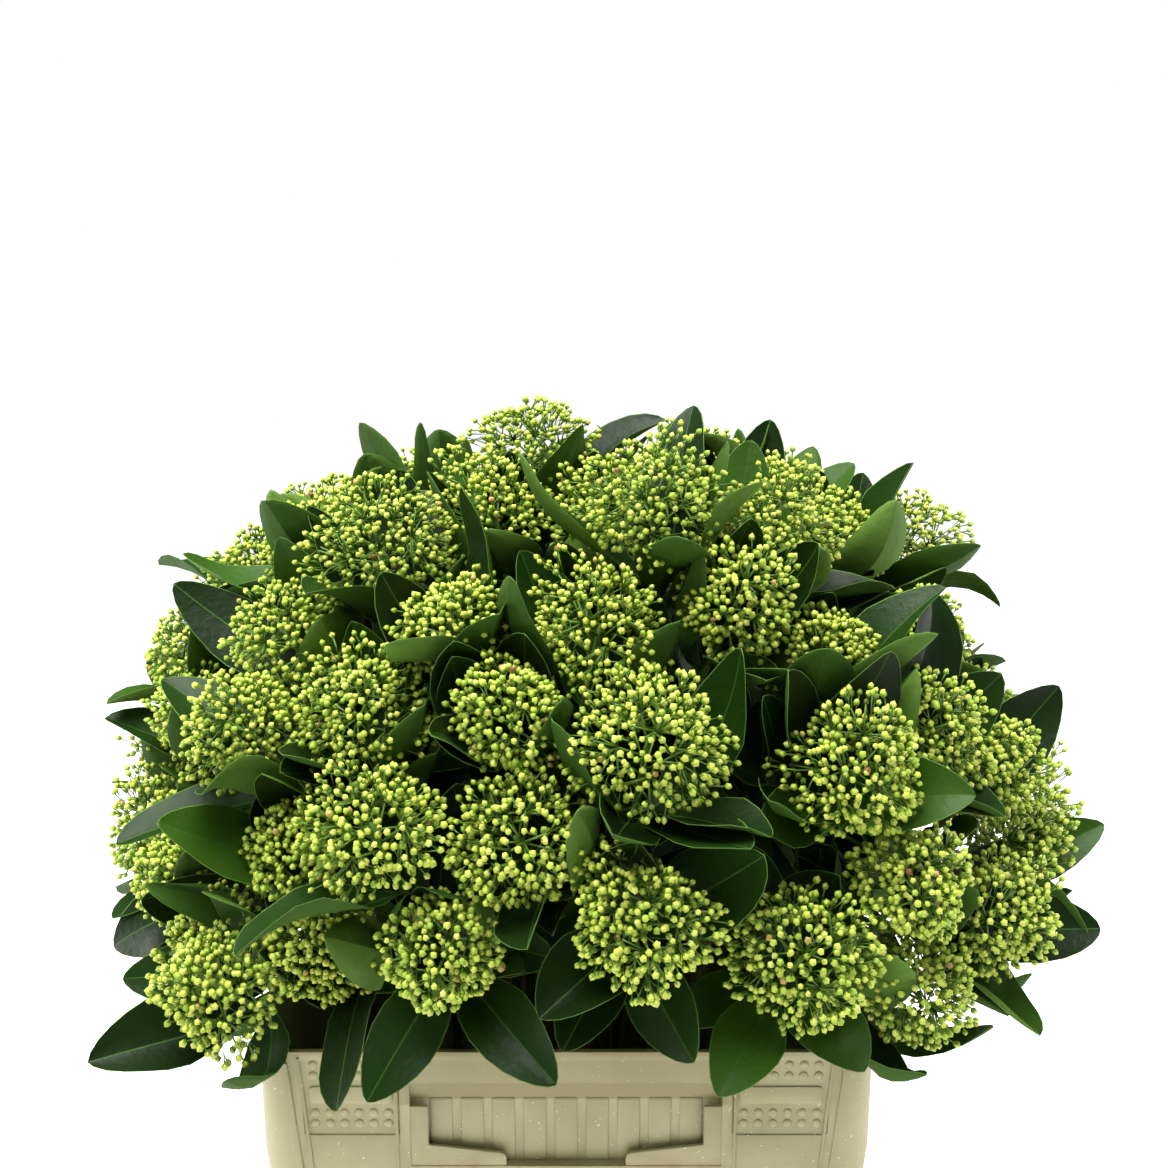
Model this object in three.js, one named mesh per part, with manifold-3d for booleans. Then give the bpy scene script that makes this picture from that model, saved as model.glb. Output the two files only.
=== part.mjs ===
// A full bunch of green-budded skimmia standing in a moulded flower bucket.
// Millimetres, +Z up. The origin is the middle of the bucket's flat underside.
// The bunch is a dome of sprays. Each spray is one node: a short stem that forks into
// twigs, each with one bloom of buds and a whorl of leaves under it. A long bare stem
// carries every spray and stands on the bucket's floor.

import * as THREE from 'three';
import { mergeVertices } from 'three/addons/utils/BufferGeometryUtils.js';
import Module from 'manifold-3d';

const wasm = await Module();
wasm.setup();

// ---- Driving dimensions -------------------------------------------------------------

// Bucket: a tapered rectangular tub, a short side to the front. Its long sides stand
// upright in a band under the rim and slope in below it.
const BUCKET_HEIGHT = 290;
const BAND_FOOT = 228;
const RIM_HALF_X = 155;
const RIM_HALF_Y = 200;
const FOOT_HALF_X = 131;
const FOOT_HALF_Y = 176;
const FOOT_INSET = 2;
const FOOT_LIFT = 3;
const CORNER_RADIUS = 20;
const CORNER_STEPS = 4;
const WALL = 3;
const FLOOR = 3;
const RIM_ROUND = 1;

// Card pocket, dotted plates and lower panel moulded into each short side. Drops are
// measured down the side from the rim.
const POCKET_WIDTH = 156;
const POCKET_HEIGHT = 48;
const POCKET_DROP = 17;
const POCKET_DEPTH = 6;
const BROW_HEIGHT = 13;
const FLANGE_THICK = 2.2;
const FLANGE_POST = 9;
const FLANGE_FOOT = 48;
const FLANGE_HEEL = 12;
const FLANGE_TOE = 7;
const FLANGE_ROOT = 1;
const PLATE_WIDTH = 48;
const PLATE_HEIGHT = 43;
const PLATE_MIDDLE = 107;
const PLATE_DROP = 5;
const PLATE_DEPTH = 0.8;
const PANEL_WIDTH = 172;
const PANEL_HEIGHT = 150;
const PANEL_DROP = 70;
const PANEL_DEPTH = 1.2;

// Dome that the middles of the sprays lie on.
const SPRAYS = 28;
const BLOOMS_PER_SPRAY = 3;
const DOME_HALF_X = 244;
const DOME_HALF_Y = 244;
const DOME_RISE = 258;
const DOME_LEVEL = 296;
const DOME_MIDDLE = 10;
const DOME_SQUARENESS = 2.3;
const DOME_BOXINESS = 0.88;
const LOWEST_TILT = 88;
const LOW_SHARE = 0.9;
const OVER_RIM_X = 41;
const OVER_RIM_Y = 46;
const RIM_LIFT = 34;
const BLOOMS_APART = 61;
const SETTLING_ROUNDS = 8;
const TILT_JITTER = 4;
const TURN_JITTER = 0.16;
const FIRST_TURN = 4.17;
const SPRAY_SPREAD = 40;
const SPREAD_SIDEWAYS = 0.3;
const BLOOM_SHIFT = 12;
const BLOOM_LIFT = 0.42;
const SIZE_SPREAD = 0.2;

// Stems and twigs.
const FORK_SHARE = 0.54;
const FORK_LEVEL = 290;
const STEM_FOOT_SHARE = 0.78;
const STEM_RADIUS_LOW = 3.6;
const STEM_RADIUS_HIGH = 2.8;
const STEM_SIDES = 5;
const STEM_STEPS = 2;
const STUB_LENGTH = 10;
const TWIG_RADIUS_LOW = 3.2;
const TWIG_RADIUS_HIGH = 3;
const TWIG_SIDES = 3;
const TWIG_OVER_RIM = 20;
const TWIG_STEPS = 2;
const GAP = 0.3;

// Blooms: rings of a panicle, as shares of its length and radius.
const BLOOM_RADIUS = 34;
const BLOOM_LUMP = 0.1;
const BLOOM_LENGTH = 66;
const BLOOM_RINGS = [[-0.36, 0.6], [0, 1.02], [0.38, 0.7]];

// Leaves: a folded blade of eight faces, bent once where it is widest.
const LEAVES_PER_BLOOM = 4;
const LEAVES_APART = 0.45;
const LEAF_LENGTH = 93;
const LEAF_WIDTH = 40;
const LENGTH_SPREAD = 0.17;
const WIDTH_SPREAD = 0.12;
const LEAF_THICKNESS = 2.4;
const LEAF_SUNK = 1.8;
const LEAF_FOLD = 0.13;
const LEAF_WIDEST = 0.55;
const LEAF_ROOT_DEPTH = 12;
const LEAF_SAMPLES = 5;
const LEAN_STEP = 3;
const LEAST_LEAN = 25;
const LEAST_WISH = 38;
const WISH_SPAN = 18;
const DROOP = 44;
const TURNS_TRIED = 16;
const LEAF_NEAREST = 0.75;
const LOWEST_TIP = 298;

// Leaves that hang over the bucket's short sides: how much shorter and slimmer.
const SHORTER_THERE = 0.42;
const SLIMMER_THERE = 0.24;

// Room that leaves keep to the bucket and to the spaces of other blooms.
const BLOOM_BEHIND = 2;
const RIM_CLEARANCE = 2.5;
const CELL_GAP = 0.4;

const GOLDEN_TURN = Math.PI * (3 - Math.sqrt(5));
const SEED = 129509;
const UP = new THREE.Vector3(0, 0, 1);

// ---- Seeded rule --------------------------------------------------------------------

// A number from 0 to 1 that depends only on the seed and on the keys.
function chance(...keys) {
  let mix = Math.imul(SEED, 2654435761) >>> 0;
  for (const key of keys) {
    mix = Math.imul(mix ^ (key + 0x9e3779b9), 0x85ebca6b) >>> 0;
    mix ^= mix >>> 13;
    mix = Math.imul(mix, 0xc2b2ae35) >>> 0;
    mix ^= mix >>> 16;
  }
  return (mix >>> 0) / 2 ** 32;
}

// The same number, from -1 to 1.
function swing(...keys) {
  return 2 * chance(...keys) - 1;
}

// ---- Points and solids --------------------------------------------------------------

// A point moved by a distance along a direction.
function along(point, direction, distance) {
  return point.clone().addScaledVector(direction, distance);
}

// Two directions square to an axis and to each other.
function squareTo(axis) {
  const helper = Math.abs(axis.z) < 0.95 ? UP : new THREE.Vector3(0, 1, 0);
  const across = helper.clone().cross(axis).normalize();
  return [across, axis.clone().cross(across)];
}

// The direction at an angle around an axis.
function around(axis, angle) {
  const [across, forward] = squareTo(axis);
  return along(across.multiplyScalar(Math.cos(angle)), forward, Math.sin(angle));
}

function indexed(points, faces) {
  const geometry = new THREE.BufferGeometry();
  geometry.setFromPoints(points);
  geometry.setIndex(faces);
  return geometry;
}

// A closed solid through rings of points, with a fan over each end. A ring may have
// twice as many points as the one before it.
function loft(rings) {
  const faces = [];
  let low = 0;
  for (let r = 0; r + 1 < rings.length; r += 1) {
    const [count, next] = [rings[r].length, rings[r + 1].length];
    const high = low + count;
    for (let i = 0; i < count; i += 1) {
      const a = low + i;
      const b = low + ((i + 1) % count);
      const ratio = next / count;
      const c = high + ((i + 1) * ratio) % next;
      const d = high + i * ratio;
      if (ratio === 2) faces.push(a, d + 1, d, a, b, d + 1, b, c, d + 1);
      else faces.push(a, b, c, a, c, d);
    }
    low = high;
  }
  for (let i = 1; i + 1 < rings[0].length; i += 1) faces.push(0, i + 1, i);
  for (let i = 1; i + 1 < rings.at(-1).length; i += 1) {
    faces.push(low, low + i, low + i + 1);
  }
  return solidOf(indexed(rings.flat(), faces));
}

// A manifold solid from a three.js geometry.
function solidOf(geometry) {
  geometry.deleteAttribute('normal');
  geometry.deleteAttribute('uv');
  const merged = mergeVertices(geometry, 1e-4);
  return new wasm.Manifold(new wasm.Mesh({
    numProp: 3,
    vertProperties: new Float32Array(merged.attributes.position.array),
    triVerts: new Uint32Array(merged.index.array),
  }));
}

// A three.js geometry from a manifold solid.
function geometryOf(solid) {
  const body = solid.getMesh();
  const geometry = new THREE.BufferGeometry();
  geometry.setAttribute('position', new THREE.BufferAttribute(body.vertProperties, 3));
  geometry.setIndex(new THREE.BufferAttribute(body.triVerts, 1));
  return geometry;
}

function meshOf(name, solid, material) {
  const geometry = geometryOf(solid);
  geometry.computeVertexNormals();
  const mesh = new THREE.Mesh(geometry, material);
  mesh.name = name;
  return mesh;
}

// The outer shell of a solid alone, so a hollow that fusing seals is filled.
function outerShell(solid) {
  const shells = solid.decompose().sort((a, b) => b.volume() - a.volume());
  return shells[0];
}

// Solids fused to one body, its shared points merged.
function joined(solids) {
  const whole = solids.reduce((sum, solid) => sum.add(solid));
  return outerShell(solidOf(geometryOf(outerShell(whole))));
}

// Of the three main directions, the one most nearly square to a given one.
function steadySide(direction) {
  const sizes = direction.toArray().map(Math.abs);
  return new THREE.Vector3().setComponent(sizes.indexOf(Math.min(...sizes)), 1);
}

// A ring of points round an axis, counted from the way that a steady side gives.
function ringAround(centre, axis, steady, radii) {
  const across = steady.clone().cross(axis).normalize();
  const forward = axis.clone().cross(across);
  return radii.map((radius, i) => {
    const angle = (2 * Math.PI * i) / radii.length;
    return along(along(centre, across, radius * Math.cos(angle)),
      forward, radius * Math.sin(angle));
  });
}

// The rings of a tapered limb along a curve.
function limbRings(curve, steady, radiusLow, radiusHigh, sides, steps) {
  const rings = [];
  for (let s = 0; s <= steps; s += 1) {
    const t = s / steps;
    const radius = radiusLow + (radiusHigh - radiusLow) * t;
    rings.push(ringAround(curve.getPoint(t), curve.getTangent(t), steady,
      Array(sides).fill(radius)));
  }
  return rings;
}

// ---- Bucket -------------------------------------------------------------------------

// Half widths of the bucket at one height.
function tubHalves(height) {
  const [shareX, shareY] = [Math.min(height / BAND_FOOT, 1), height / BUCKET_HEIGHT];
  return [FOOT_HALF_X + (RIM_HALF_X - FOOT_HALF_X) * shareX,
    FOOT_HALF_Y + (RIM_HALF_Y - FOOT_HALF_Y) * shareY];
}

// A rounded rectangle at one height.
function tubRing(height, inset) {
  const [halfX, halfY] = tubHalves(height);
  const ring = [];
  for (let corner = 0; corner < 4; corner += 1) {
    const signX = corner === 0 || corner === 3 ? 1 : -1;
    const signY = corner < 2 ? 1 : -1;
    for (let s = 0; s <= CORNER_STEPS; s += 1) {
      const angle = (corner + s / CORNER_STEPS) * Math.PI / 2;
      const radius = CORNER_RADIUS - inset;
      ring.push(new THREE.Vector3(
        signX * (halfX - CORNER_RADIUS) + radius * Math.cos(angle),
        signY * (halfY - CORNER_RADIUS) + radius * Math.sin(angle), height));
    }
  }
  return ring;
}

// A shape on the front (-1) or back (1) side. It is drawn with x across, y up the
// slope from the rim and z out of the wall.
function onShortSide(side, geometry) {
  const slope = Math.atan2(RIM_HALF_Y - FOOT_HALF_Y, BUCKET_HEIGHT);
  geometry.rotateX(Math.PI / 2 + slope);
  geometry.translate(0, -RIM_HALF_Y, BUCKET_HEIGHT);
  if (side > 0) geometry.rotateZ(Math.PI);
  return solidOf(geometry);
}

// A box on a short side, from its middle across, its drop below the rim, its width and
// height, and how far its faces stand out of the wall (negative is into it).
function sideBox(side, across, drop, width, height, inner, outer) {
  const box = new THREE.BoxGeometry(width, height, outer - inner);
  box.translate(across, -drop - height / 2, (outer + inner) / 2);
  return onShortSide(side, box);
}

// One of the two angled flanges that hold a card in the pocket: a post down the
// pocket's end and a foot along its lower edge. Its root is sunk into the wall.
function flange(side, hand) {
  const outline = new THREE.Shape();
  const postTop = POCKET_HEIGHT - BROW_HEIGHT - 1;
  outline.moveTo(-FLANGE_ROOT, -FLANGE_ROOT);
  outline.lineTo(FLANGE_FOOT, -FLANGE_ROOT);
  outline.lineTo(FLANGE_FOOT, FLANGE_TOE);
  outline.lineTo(FLANGE_POST, FLANGE_HEEL);
  outline.lineTo(FLANGE_POST * 0.75, postTop);
  outline.lineTo(-FLANGE_ROOT, postTop);
  const plate = new THREE.ExtrudeGeometry(outline,
    { depth: FLANGE_THICK, bevelEnabled: false });
  plate.translate(-POCKET_WIDTH / 2, -POCKET_DROP - POCKET_HEIGHT, -FLANGE_THICK - 0.4);
  if (hand < 0) return onShortSide(side, plate);
  const mirrored = plate.applyMatrix4(new THREE.Matrix4().makeScale(-1, 1, 1));
  mirrored.attributes.position.array.set(reversedFaces(mirrored));
  return onShortSide(side, mirrored);
}

// The corner positions of loose triangles with each triangle turned over.
function reversedFaces(geometry) {
  const corners = geometry.attributes.position.array;
  const turned = corners.slice();
  for (let at = 0; at < corners.length; at += 9) {
    turned.set(corners.slice(at + 6, at + 9), at);
    turned.set(corners.slice(at, at + 3), at + 6);
  }
  return turned;
}

// The wall of a short side with its sunk plates, lower panel and card pocket.
function withMouldings(side, tub) {
  const box = (...sizes) => sideBox(side, ...sizes);
  const backing = box(0, POCKET_DROP - WALL, POCKET_WIDTH + 2 * WALL,
    POCKET_HEIGHT + 2 * WALL, -POCKET_DEPTH - WALL, -WALL / 2);
  const brow = box(0, POCKET_DROP, POCKET_WIDTH, BROW_HEIGHT + 2, -POCKET_DEPTH / 2, 1);
  const recess = box(0, POCKET_DROP + BROW_HEIGHT, POCKET_WIDTH,
    POCKET_HEIGHT - BROW_HEIGHT, -POCKET_DEPTH, 1);
  const panel = box(0, PANEL_DROP, PANEL_WIDTH, PANEL_HEIGHT, -PANEL_DEPTH, 1);
  let wall = tub.add(backing).subtract(brow).subtract(recess).subtract(panel);
  for (const hand of [-1, 1]) {
    const plate = box(hand * PLATE_MIDDLE, PLATE_DROP, PLATE_WIDTH, PLATE_HEIGHT,
      -PLATE_DEPTH, 1);
    wall = wall.subtract(plate).add(flange(side, hand));
  }
  return wall;
}

function bucket() {
  const outer = loft([tubRing(0, FOOT_INSET), tubRing(FOOT_LIFT, 0),
    tubRing(BAND_FOOT, 0), tubRing(BUCKET_HEIGHT - RIM_ROUND, 0),
    tubRing(BUCKET_HEIGHT, RIM_ROUND)]);
  const inner = loft([tubRing(FLOOR, WALL), tubRing(BAND_FOOT, WALL),
    tubRing(BUCKET_HEIGHT + 1, WALL)]);
  let tub = outer.subtract(inner);
  for (const side of [-1, 1]) tub = withMouldings(side, tub);
  return tub;
}

// True where a point keeps clear of the bucket's walls and rim.
function clearOfBucket(point) {
  if (point.z > BUCKET_HEIGHT + RIM_CLEARANCE) return true;
  const [halfX, halfY] = tubHalves(point.z);
  return Math.abs(point.x) > halfX + RIM_CLEARANCE
    || Math.abs(point.y) > halfY + RIM_CLEARANCE;
}

// ---- Layout of the bunch ------------------------------------------------------------

// A point on the dome, and the dome's outward direction there.
function onDome(turn, tilt) {
  const [c, s] = [Math.cos(turn), Math.sin(turn)];
  const reach = (Math.abs(c / DOME_HALF_X) ** DOME_SQUARENESS
    + Math.abs(s / DOME_HALF_Y) ** DOME_SQUARENESS) ** (-1 / DOME_SQUARENESS);
  const out = reach * Math.sin(tilt) ** DOME_BOXINESS;
  const up = DOME_RISE * Math.cos(tilt) ** DOME_BOXINESS;
  const point = new THREE.Vector3(DOME_MIDDLE + out * c, out * s, DOME_LEVEL + up);
  const outward = new THREE.Vector3((out * c) / DOME_HALF_X ** 2,
    (out * s) / DOME_HALF_Y ** 2, up / DOME_RISE ** 2).normalize();
  return [point, outward];
}

// Raises the middle of a bloom that would sit on the bucket's rim.
function liftOverRim(centre) {
  const overX = Math.abs(centre.x) < RIM_HALF_X + OVER_RIM_X;
  const overY = Math.abs(centre.y) < RIM_HALF_Y + OVER_RIM_Y;
  if (overX && overY) centre.z = Math.max(centre.z, BUCKET_HEIGHT + RIM_LIFT);
}

// One spray: its fork, and for each bloom a middle, a growing direction and a size.
function layOutSpray(i) {
  const share = ((i + 0.5) / SPRAYS) ** LOW_SHARE;
  const lowest = THREE.MathUtils.degToRad(LOWEST_TILT);
  const jitter = THREE.MathUtils.degToRad(TILT_JITTER) * swing(i, 2);
  const even = Math.acos(1 - share * (1 - Math.cos(lowest)));
  const tilt = THREE.MathUtils.clamp(even + jitter, 0, lowest);
  const turn = FIRST_TURN + i * GOLDEN_TURN + TURN_JITTER * swing(i, 1);
  const [middle, outward] = onDome(turn, tilt);
  const firstAngle = 2 * Math.PI * chance(i, 3);
  const blooms = [];
  for (let k = 0; k < BLOOMS_PER_SPRAY; k += 1) {
    const angle = firstAngle + (2 * Math.PI * k) / BLOOMS_PER_SPRAY
      + 0.25 * swing(i, 4, k);
    const aside = around(outward, angle);
    const spread = SPRAY_SPREAD * (1 + 0.12 * swing(i, 5, k));
    const centre = along(along(middle, aside, spread), outward,
      BLOOM_SHIFT * swing(i, 6, k));
    liftOverRim(centre);
    const axis = outward.clone().lerp(UP, BLOOM_LIFT).normalize();
    axis.addScaledVector(aside, SPREAD_SIDEWAYS).normalize();
    const size = 1 + SIZE_SPREAD * swing(i, 7, k);
    blooms.push({ centre, axis, size, keys: [i, k] });
  }
  const fork = new THREE.Vector3(0, 0, FORK_LEVEL).lerp(middle, FORK_SHARE);
  return { fork, blooms };
}

// Blooms that crowd each other are pushed apart, a little at a time.
function settle(blooms) {
  for (let round = 0; round < SETTLING_ROUNDS; round += 1) {
    blooms.forEach((one, i) => {
      for (const other of blooms.slice(0, i)) {
        const between = one.centre.clone().sub(other.centre);
        const distance = between.length();
        const apart = BLOOMS_APART * (one.size + other.size) / 2;
        if (distance >= apart) continue;
        between.multiplyScalar((apart - distance) / 2 / distance);
        one.centre.add(between);
        other.centre.sub(between);
        liftOverRim(one.centre);
        liftOverRim(other.centre);
      }
    });
  }
}

const sprays = Array.from({ length: SPRAYS }, (_, i) => layOutSpray(i));
const allBlooms = sprays.flatMap((spray) => spray.blooms);
settle(allBlooms);

// Each bloom and its leaves keep to a space of their own. Between two blooms it ends
// where the distance from each is in proportion to its size.
function inOwnCell(bloom, point) {
  return allBlooms.every((other) => {
    if (other === bloom) return true;
    const between = other.centre.clone().sub(bloom.centre);
    const meeting = along(bloom.centre, between, bloom.size / (bloom.size + other.size));
    return point.clone().sub(meeting).dot(between.normalize()) < -CELL_GAP / 2;
  });
}

// ---- Stems and sprays ---------------------------------------------------------------

// The line of a stem from its flat cut on the bucket's floor up to its spray's fork.
function stemLine({ fork }) {
  const foot = new THREE.Vector3(fork.x * STEM_FOOT_SHARE, fork.y * STEM_FOOT_SHARE,
    FLOOR + GAP);
  const bend = new THREE.Vector3(fork.x * 0.8, fork.y * 0.8, fork.z * 0.6);
  return new THREE.QuadraticBezierCurve3(foot, bend, fork);
}

// A point on a line, measured back from its upper end.
function belowEnd(line, distance) {
  return line.getPointAt(1 - distance / line.getLength());
}

function stem(layout) {
  const line = stemLine(layout);
  const share = 1 - STUB_LENGTH / line.getLength();
  const points = [];
  for (let s = 0; s <= STEM_STEPS; s += 1) {
    points.push(line.getPointAt(share * (s / STEM_STEPS)));
  }
  const curve = new THREE.CatmullRomCurve3(points);
  const steady = new THREE.Vector3(1, 0, 0);
  const rings = limbRings(curve, steady, STEM_RADIUS_LOW, STEM_RADIUS_HIGH,
    STEM_SIDES, STEM_STEPS);
  rings[0] = ringAround(points[0], UP, steady, Array(STEM_SIDES).fill(STEM_RADIUS_LOW));
  return loft(rings);
}

// The twig from the fork, over the rim if need be, up to the foot of a bloom.
function twigLine(fork, { centre, axis, size }) {
  const end = along(centre, axis, -BLOOM_LENGTH * size / 2);
  const bend = along(centre, axis, -BLOOM_LENGTH * 1.15);
  bend.z = Math.max(bend.z, BUCKET_HEIGHT + TWIG_OVER_RIM);
  return new THREE.QuadraticBezierCurve3(fork, bend, end);
}

// A twig that opens into its bloom: a panicle of buds as one lumpy body, drawn in
// wherever it would leave its cell or reach its leaves. The spray's first twig carries
// on from its stem.
function bloomOnTwig(layout, bloom, leaves) {
  const { centre, axis, size, keys } = bloom;
  const line = twigLine(layout.fork, bloom);
  const steady = steadySide(centre.clone().sub(layout.fork));
  const rings = limbRings(line, steady, TWIG_RADIUS_LOW, TWIG_RADIUS_HIGH,
    TWIG_SIDES, TWIG_STEPS);
  if (bloom === layout.blooms[0]) {
    const trunk = stemLine(layout);
    const start = belowEnd(trunk, STUB_LENGTH - GAP);
    rings.unshift(ringAround(start, trunk.getTangent(1), steady,
      Array(TWIG_SIDES).fill(TWIG_RADIUS_LOW)));
  }
  BLOOM_RINGS.forEach(([height, width], r) => {
    const middle = along(centre, axis, height * BLOOM_LENGTH * size);
    const wanted = Array.from({ length: 2 * TWIG_SIDES },
      (_, i) => BLOOM_RADIUS * size * width * (1 + BLOOM_LUMP * swing(...keys, 20 + r, i)));
    const fits = (i) => {
      const point = ringAround(middle, axis, steady, wanted)[i];
      return inOwnCell(bloom, point) && clearOfBucket(point)
        && leaves.every((leaf) => behindLeaf(leaf, centre, point));
    };
    wanted.forEach((_, i) => {
      while (wanted[i] > TWIG_RADIUS_HIGH + 1 && !fits(i)) wanted[i] -= 1;
    });
    rings.push(ringAround(middle, axis, steady, wanted));
  });
  return loft(rings);
}

// True where a point of a bloom lies on the bloom's side of one of its leaves.
function behindLeaf([root, tip, left, right, top], centre, point) {
  const side = left.clone().sub(right);
  const halfWidth = side.length() / 2;
  side.normalize();
  const offset = point.clone().sub(top);
  const low = offset.dot(tip.clone().sub(root)) < 0;
  const spine = low ? top.clone().sub(root) : tip.clone().sub(top);
  const beyondTip = !low && point.clone().sub(tip).dot(spine) > 0;
  if (beyondTip || Math.abs(offset.dot(side)) > halfWidth + BLOOM_BEHIND) return true;
  const facing = spine.cross(side).normalize();
  if (facing.dot(centre.clone().sub(top)) < 0) facing.negate();
  return offset.dot(facing) > BLOOM_BEHIND;
}

// How far out from a bloom its cell goes, one way.
function roomFor(bloom, outward) {
  let reach = BLOOM_RADIUS / 2;
  while (reach < 2 * BLOOM_RADIUS
    && inOwnCell(bloom, along(bloom.centre, outward, reach))) reach += 2;
  return reach;
}

// The ways that a bloom's leaves may face, the roomiest first.
function leafTurns(bloom) {
  const ways = [];
  for (let i = 0; i < TURNS_TRIED; i += 1) {
    const turn = 2 * Math.PI * (i + chance(...bloom.keys, 40)) / TURNS_TRIED;
    ways.push([turn, roomFor(bloom, around(bloom.axis, turn))]);
  }
  return ways.sort((a, b) => b[1] - a[1]).map(([turn]) => turn);
}

// The leaves of a bloom, each where it has room and apart from the others.
function bloomLeaves(layout, bloom) {
  const turns = [];
  const leaves = [];
  for (const turn of leafTurns(bloom)) {
    const apart = turns.every((other) => Math.cos(turn - other) < LEAVES_APART);
    if (leaves.length === LEAVES_PER_BLOOM || !apart) continue;
    const leaf = leafPoints(layout, bloom, turn, leaves.length);
    if (leaf === null) continue;
    turns.push(turn);
    leaves.push(leaf);
  }
  return leaves;
}

// A heading at an angle out from a bloom's axis.
function heading(axis, outward, degrees) {
  const angle = THREE.MathUtils.degToRad(degrees);
  return along(axis.clone().multiplyScalar(Math.cos(angle)), outward, Math.sin(angle));
}

// The points of leaf k: root, tip, both edges, and the top and underside where it is
// widest. Each half leans out as far as it may, and a leaf that has no room is null.
function leafPoints(layout, bloom, turn, k) {
  const { centre, axis, size, keys } = bloom;
  const outward = around(axis, turn);
  const side = axis.clone().cross(outward);
  const below = Math.max(0, -outward.z);
  const overShortSide = below * Math.abs(axis.y);
  const length = LEAF_LENGTH * (1 - SHORTER_THERE * overShortSide)
    * (1 + LENGTH_SPREAD * swing(...keys, 41, k));
  const width = LEAF_WIDTH * (1 - SLIMMER_THERE * overShortSide)
    * (1 + WIDTH_SPREAD * swing(...keys, 42, k));
  const root = belowEnd(twigLine(layout.fork, bloom), LEAF_ROOT_DEPTH * (0.5 + 0.4 * k));
  const wish = LEAST_WISH + WISH_SPAN * chance(...keys, 43, k) + DROOP * below;
  for (let low = wish; low > LEAST_LEAN; low -= LEAN_STEP) {
    const lean = heading(axis, outward, low);
    const widest = along(root, lean, length * LEAF_WIDEST);
    const upper = heading(axis, outward, low - 90);
    const rim = along(widest, upper, width * LEAF_FOLD);
    const edges = [along(rim, side, width / 2), along(rim, side, -width / 2)];
    const reach = widest.clone().sub(centre).dot(outward);
    if (reach < BLOOM_RADIUS * size * LEAF_NEAREST) break;
    const faces = [along(widest, upper, LEAF_THICKNESS / 2),
      along(widest, upper, -LEAF_THICKNESS / 2)];
    for (let high = wish * 1.15; high > -10; high -= LEAN_STEP) {
      const tip = along(widest, heading(axis, outward, high), length * (1 - LEAF_WIDEST));
      if (tip.z < LOWEST_TIP) continue;
      const points = [along(root, lean, -LEAF_SUNK), tip, ...edges, ...faces];
      if (points.every((p) => inOwnCell(bloom, p)) && edgesClear(points)) return points;
    }
  }
  return null;
}

// True where a leaf's edges and spine keep clear of the bucket.
function edgesClear([root, tip, left, right, top]) {
  const edges = [[root, left], [root, right], [root, top],
    [left, tip], [right, tip], [top, tip]];
  return edges.every(([from, to]) => {
    for (let s = 0; s <= LEAF_SAMPLES; s += 1) {
      if (!clearOfBucket(from.clone().lerp(to, s / LEAF_SAMPLES))) return false;
    }
    return true;
  });
}

function leafBody(points) {
  const faces = [0, 4, 2, 0, 3, 4, 1, 2, 4, 1, 4, 3, 0, 2, 5, 0, 5, 3, 1, 5, 2, 1, 3, 5];
  return solidOf(indexed(points, faces));
}

// One spray: its twigs, blooms and leaves.
function spray(layout) {
  const bodies = layout.blooms.flatMap((bloom) => {
    const leaves = bloomLeaves(layout, bloom);
    return [bloomOnTwig(layout, bloom, leaves), ...leaves.map(leafBody)];
  });
  return joined(bodies);
}

// ---- Assembly -----------------------------------------------------------------------

const plastic = new THREE.MeshStandardMaterial({ color: 0xd8cfae, roughness: 0.45 });
const bark = new THREE.MeshStandardMaterial({ color: 0x6f8a3c, roughness: 0.7 });
const foliage = new THREE.MeshStandardMaterial({ color: 0x7f9c3f, roughness: 0.5 });

const plant = new THREE.Group();
plant.add(meshOf('bucket', bucket(), plastic));
sprays.forEach((layout, i) => {
  const number = String(i + 1).padStart(2, '0');
  plant.add(meshOf(`stem_${number}`, stem(layout), bark));
  plant.add(meshOf(`spray_${number}`, spray(layout), foliage));
});

export default plant;
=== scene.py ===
"""A full bunch of green-budded skimmia that stands in its moulded flower bucket.

The bucket comes first, then the cut stems on its floor, the twigs that they fork into,
and the leaves, bud stalks and buds that the twigs carry.
"""

import math

import bpy
import numpy as np
from mathutils import Matrix, Vector


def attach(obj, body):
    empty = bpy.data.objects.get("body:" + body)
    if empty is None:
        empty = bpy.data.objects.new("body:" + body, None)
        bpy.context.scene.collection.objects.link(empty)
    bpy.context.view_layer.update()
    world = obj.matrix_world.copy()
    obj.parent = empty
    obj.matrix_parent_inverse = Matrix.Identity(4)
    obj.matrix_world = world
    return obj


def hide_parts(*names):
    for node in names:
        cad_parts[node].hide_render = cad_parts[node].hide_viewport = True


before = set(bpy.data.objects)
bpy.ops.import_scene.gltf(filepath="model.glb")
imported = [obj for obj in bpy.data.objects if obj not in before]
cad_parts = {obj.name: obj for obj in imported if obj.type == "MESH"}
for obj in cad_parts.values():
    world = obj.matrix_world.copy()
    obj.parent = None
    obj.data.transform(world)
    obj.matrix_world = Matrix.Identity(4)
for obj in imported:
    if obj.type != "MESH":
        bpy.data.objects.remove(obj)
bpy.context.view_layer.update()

bpy.ops.object.select_all(action="DESELECT")

# ---- Tub ----------------------------------------------------------------------------
# The tub is one moulding of cream polypropylene: four tapered walls, the long ones
# upright in a band under the rim. It is a box that is tapered, rounded and hollowed, then
# cut on each short wall for a card pocket and three panels, and on each long wall for two.

TUB_HEIGHT = 0.290
BAND_FOOT = 0.228
RIM_HALF = Vector((0.155, 0.200))
FOOT_HALF = Vector((0.131, 0.176))
CORNER_ROUND = 0.020
CORNER_SEGMENTS = 8
WALL = 0.003
EDGE_ROUND = 0.0009
SMOOTH_ANGLE = math.radians(35)
WALL_SLOPE = math.atan2(RIM_HALF.y - FOOT_HALF.y, TUB_HEIGHT)
SIDE_SLOPE = math.atan2(RIM_HALF.x - FOOT_HALF.x, BAND_FOOT)

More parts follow.
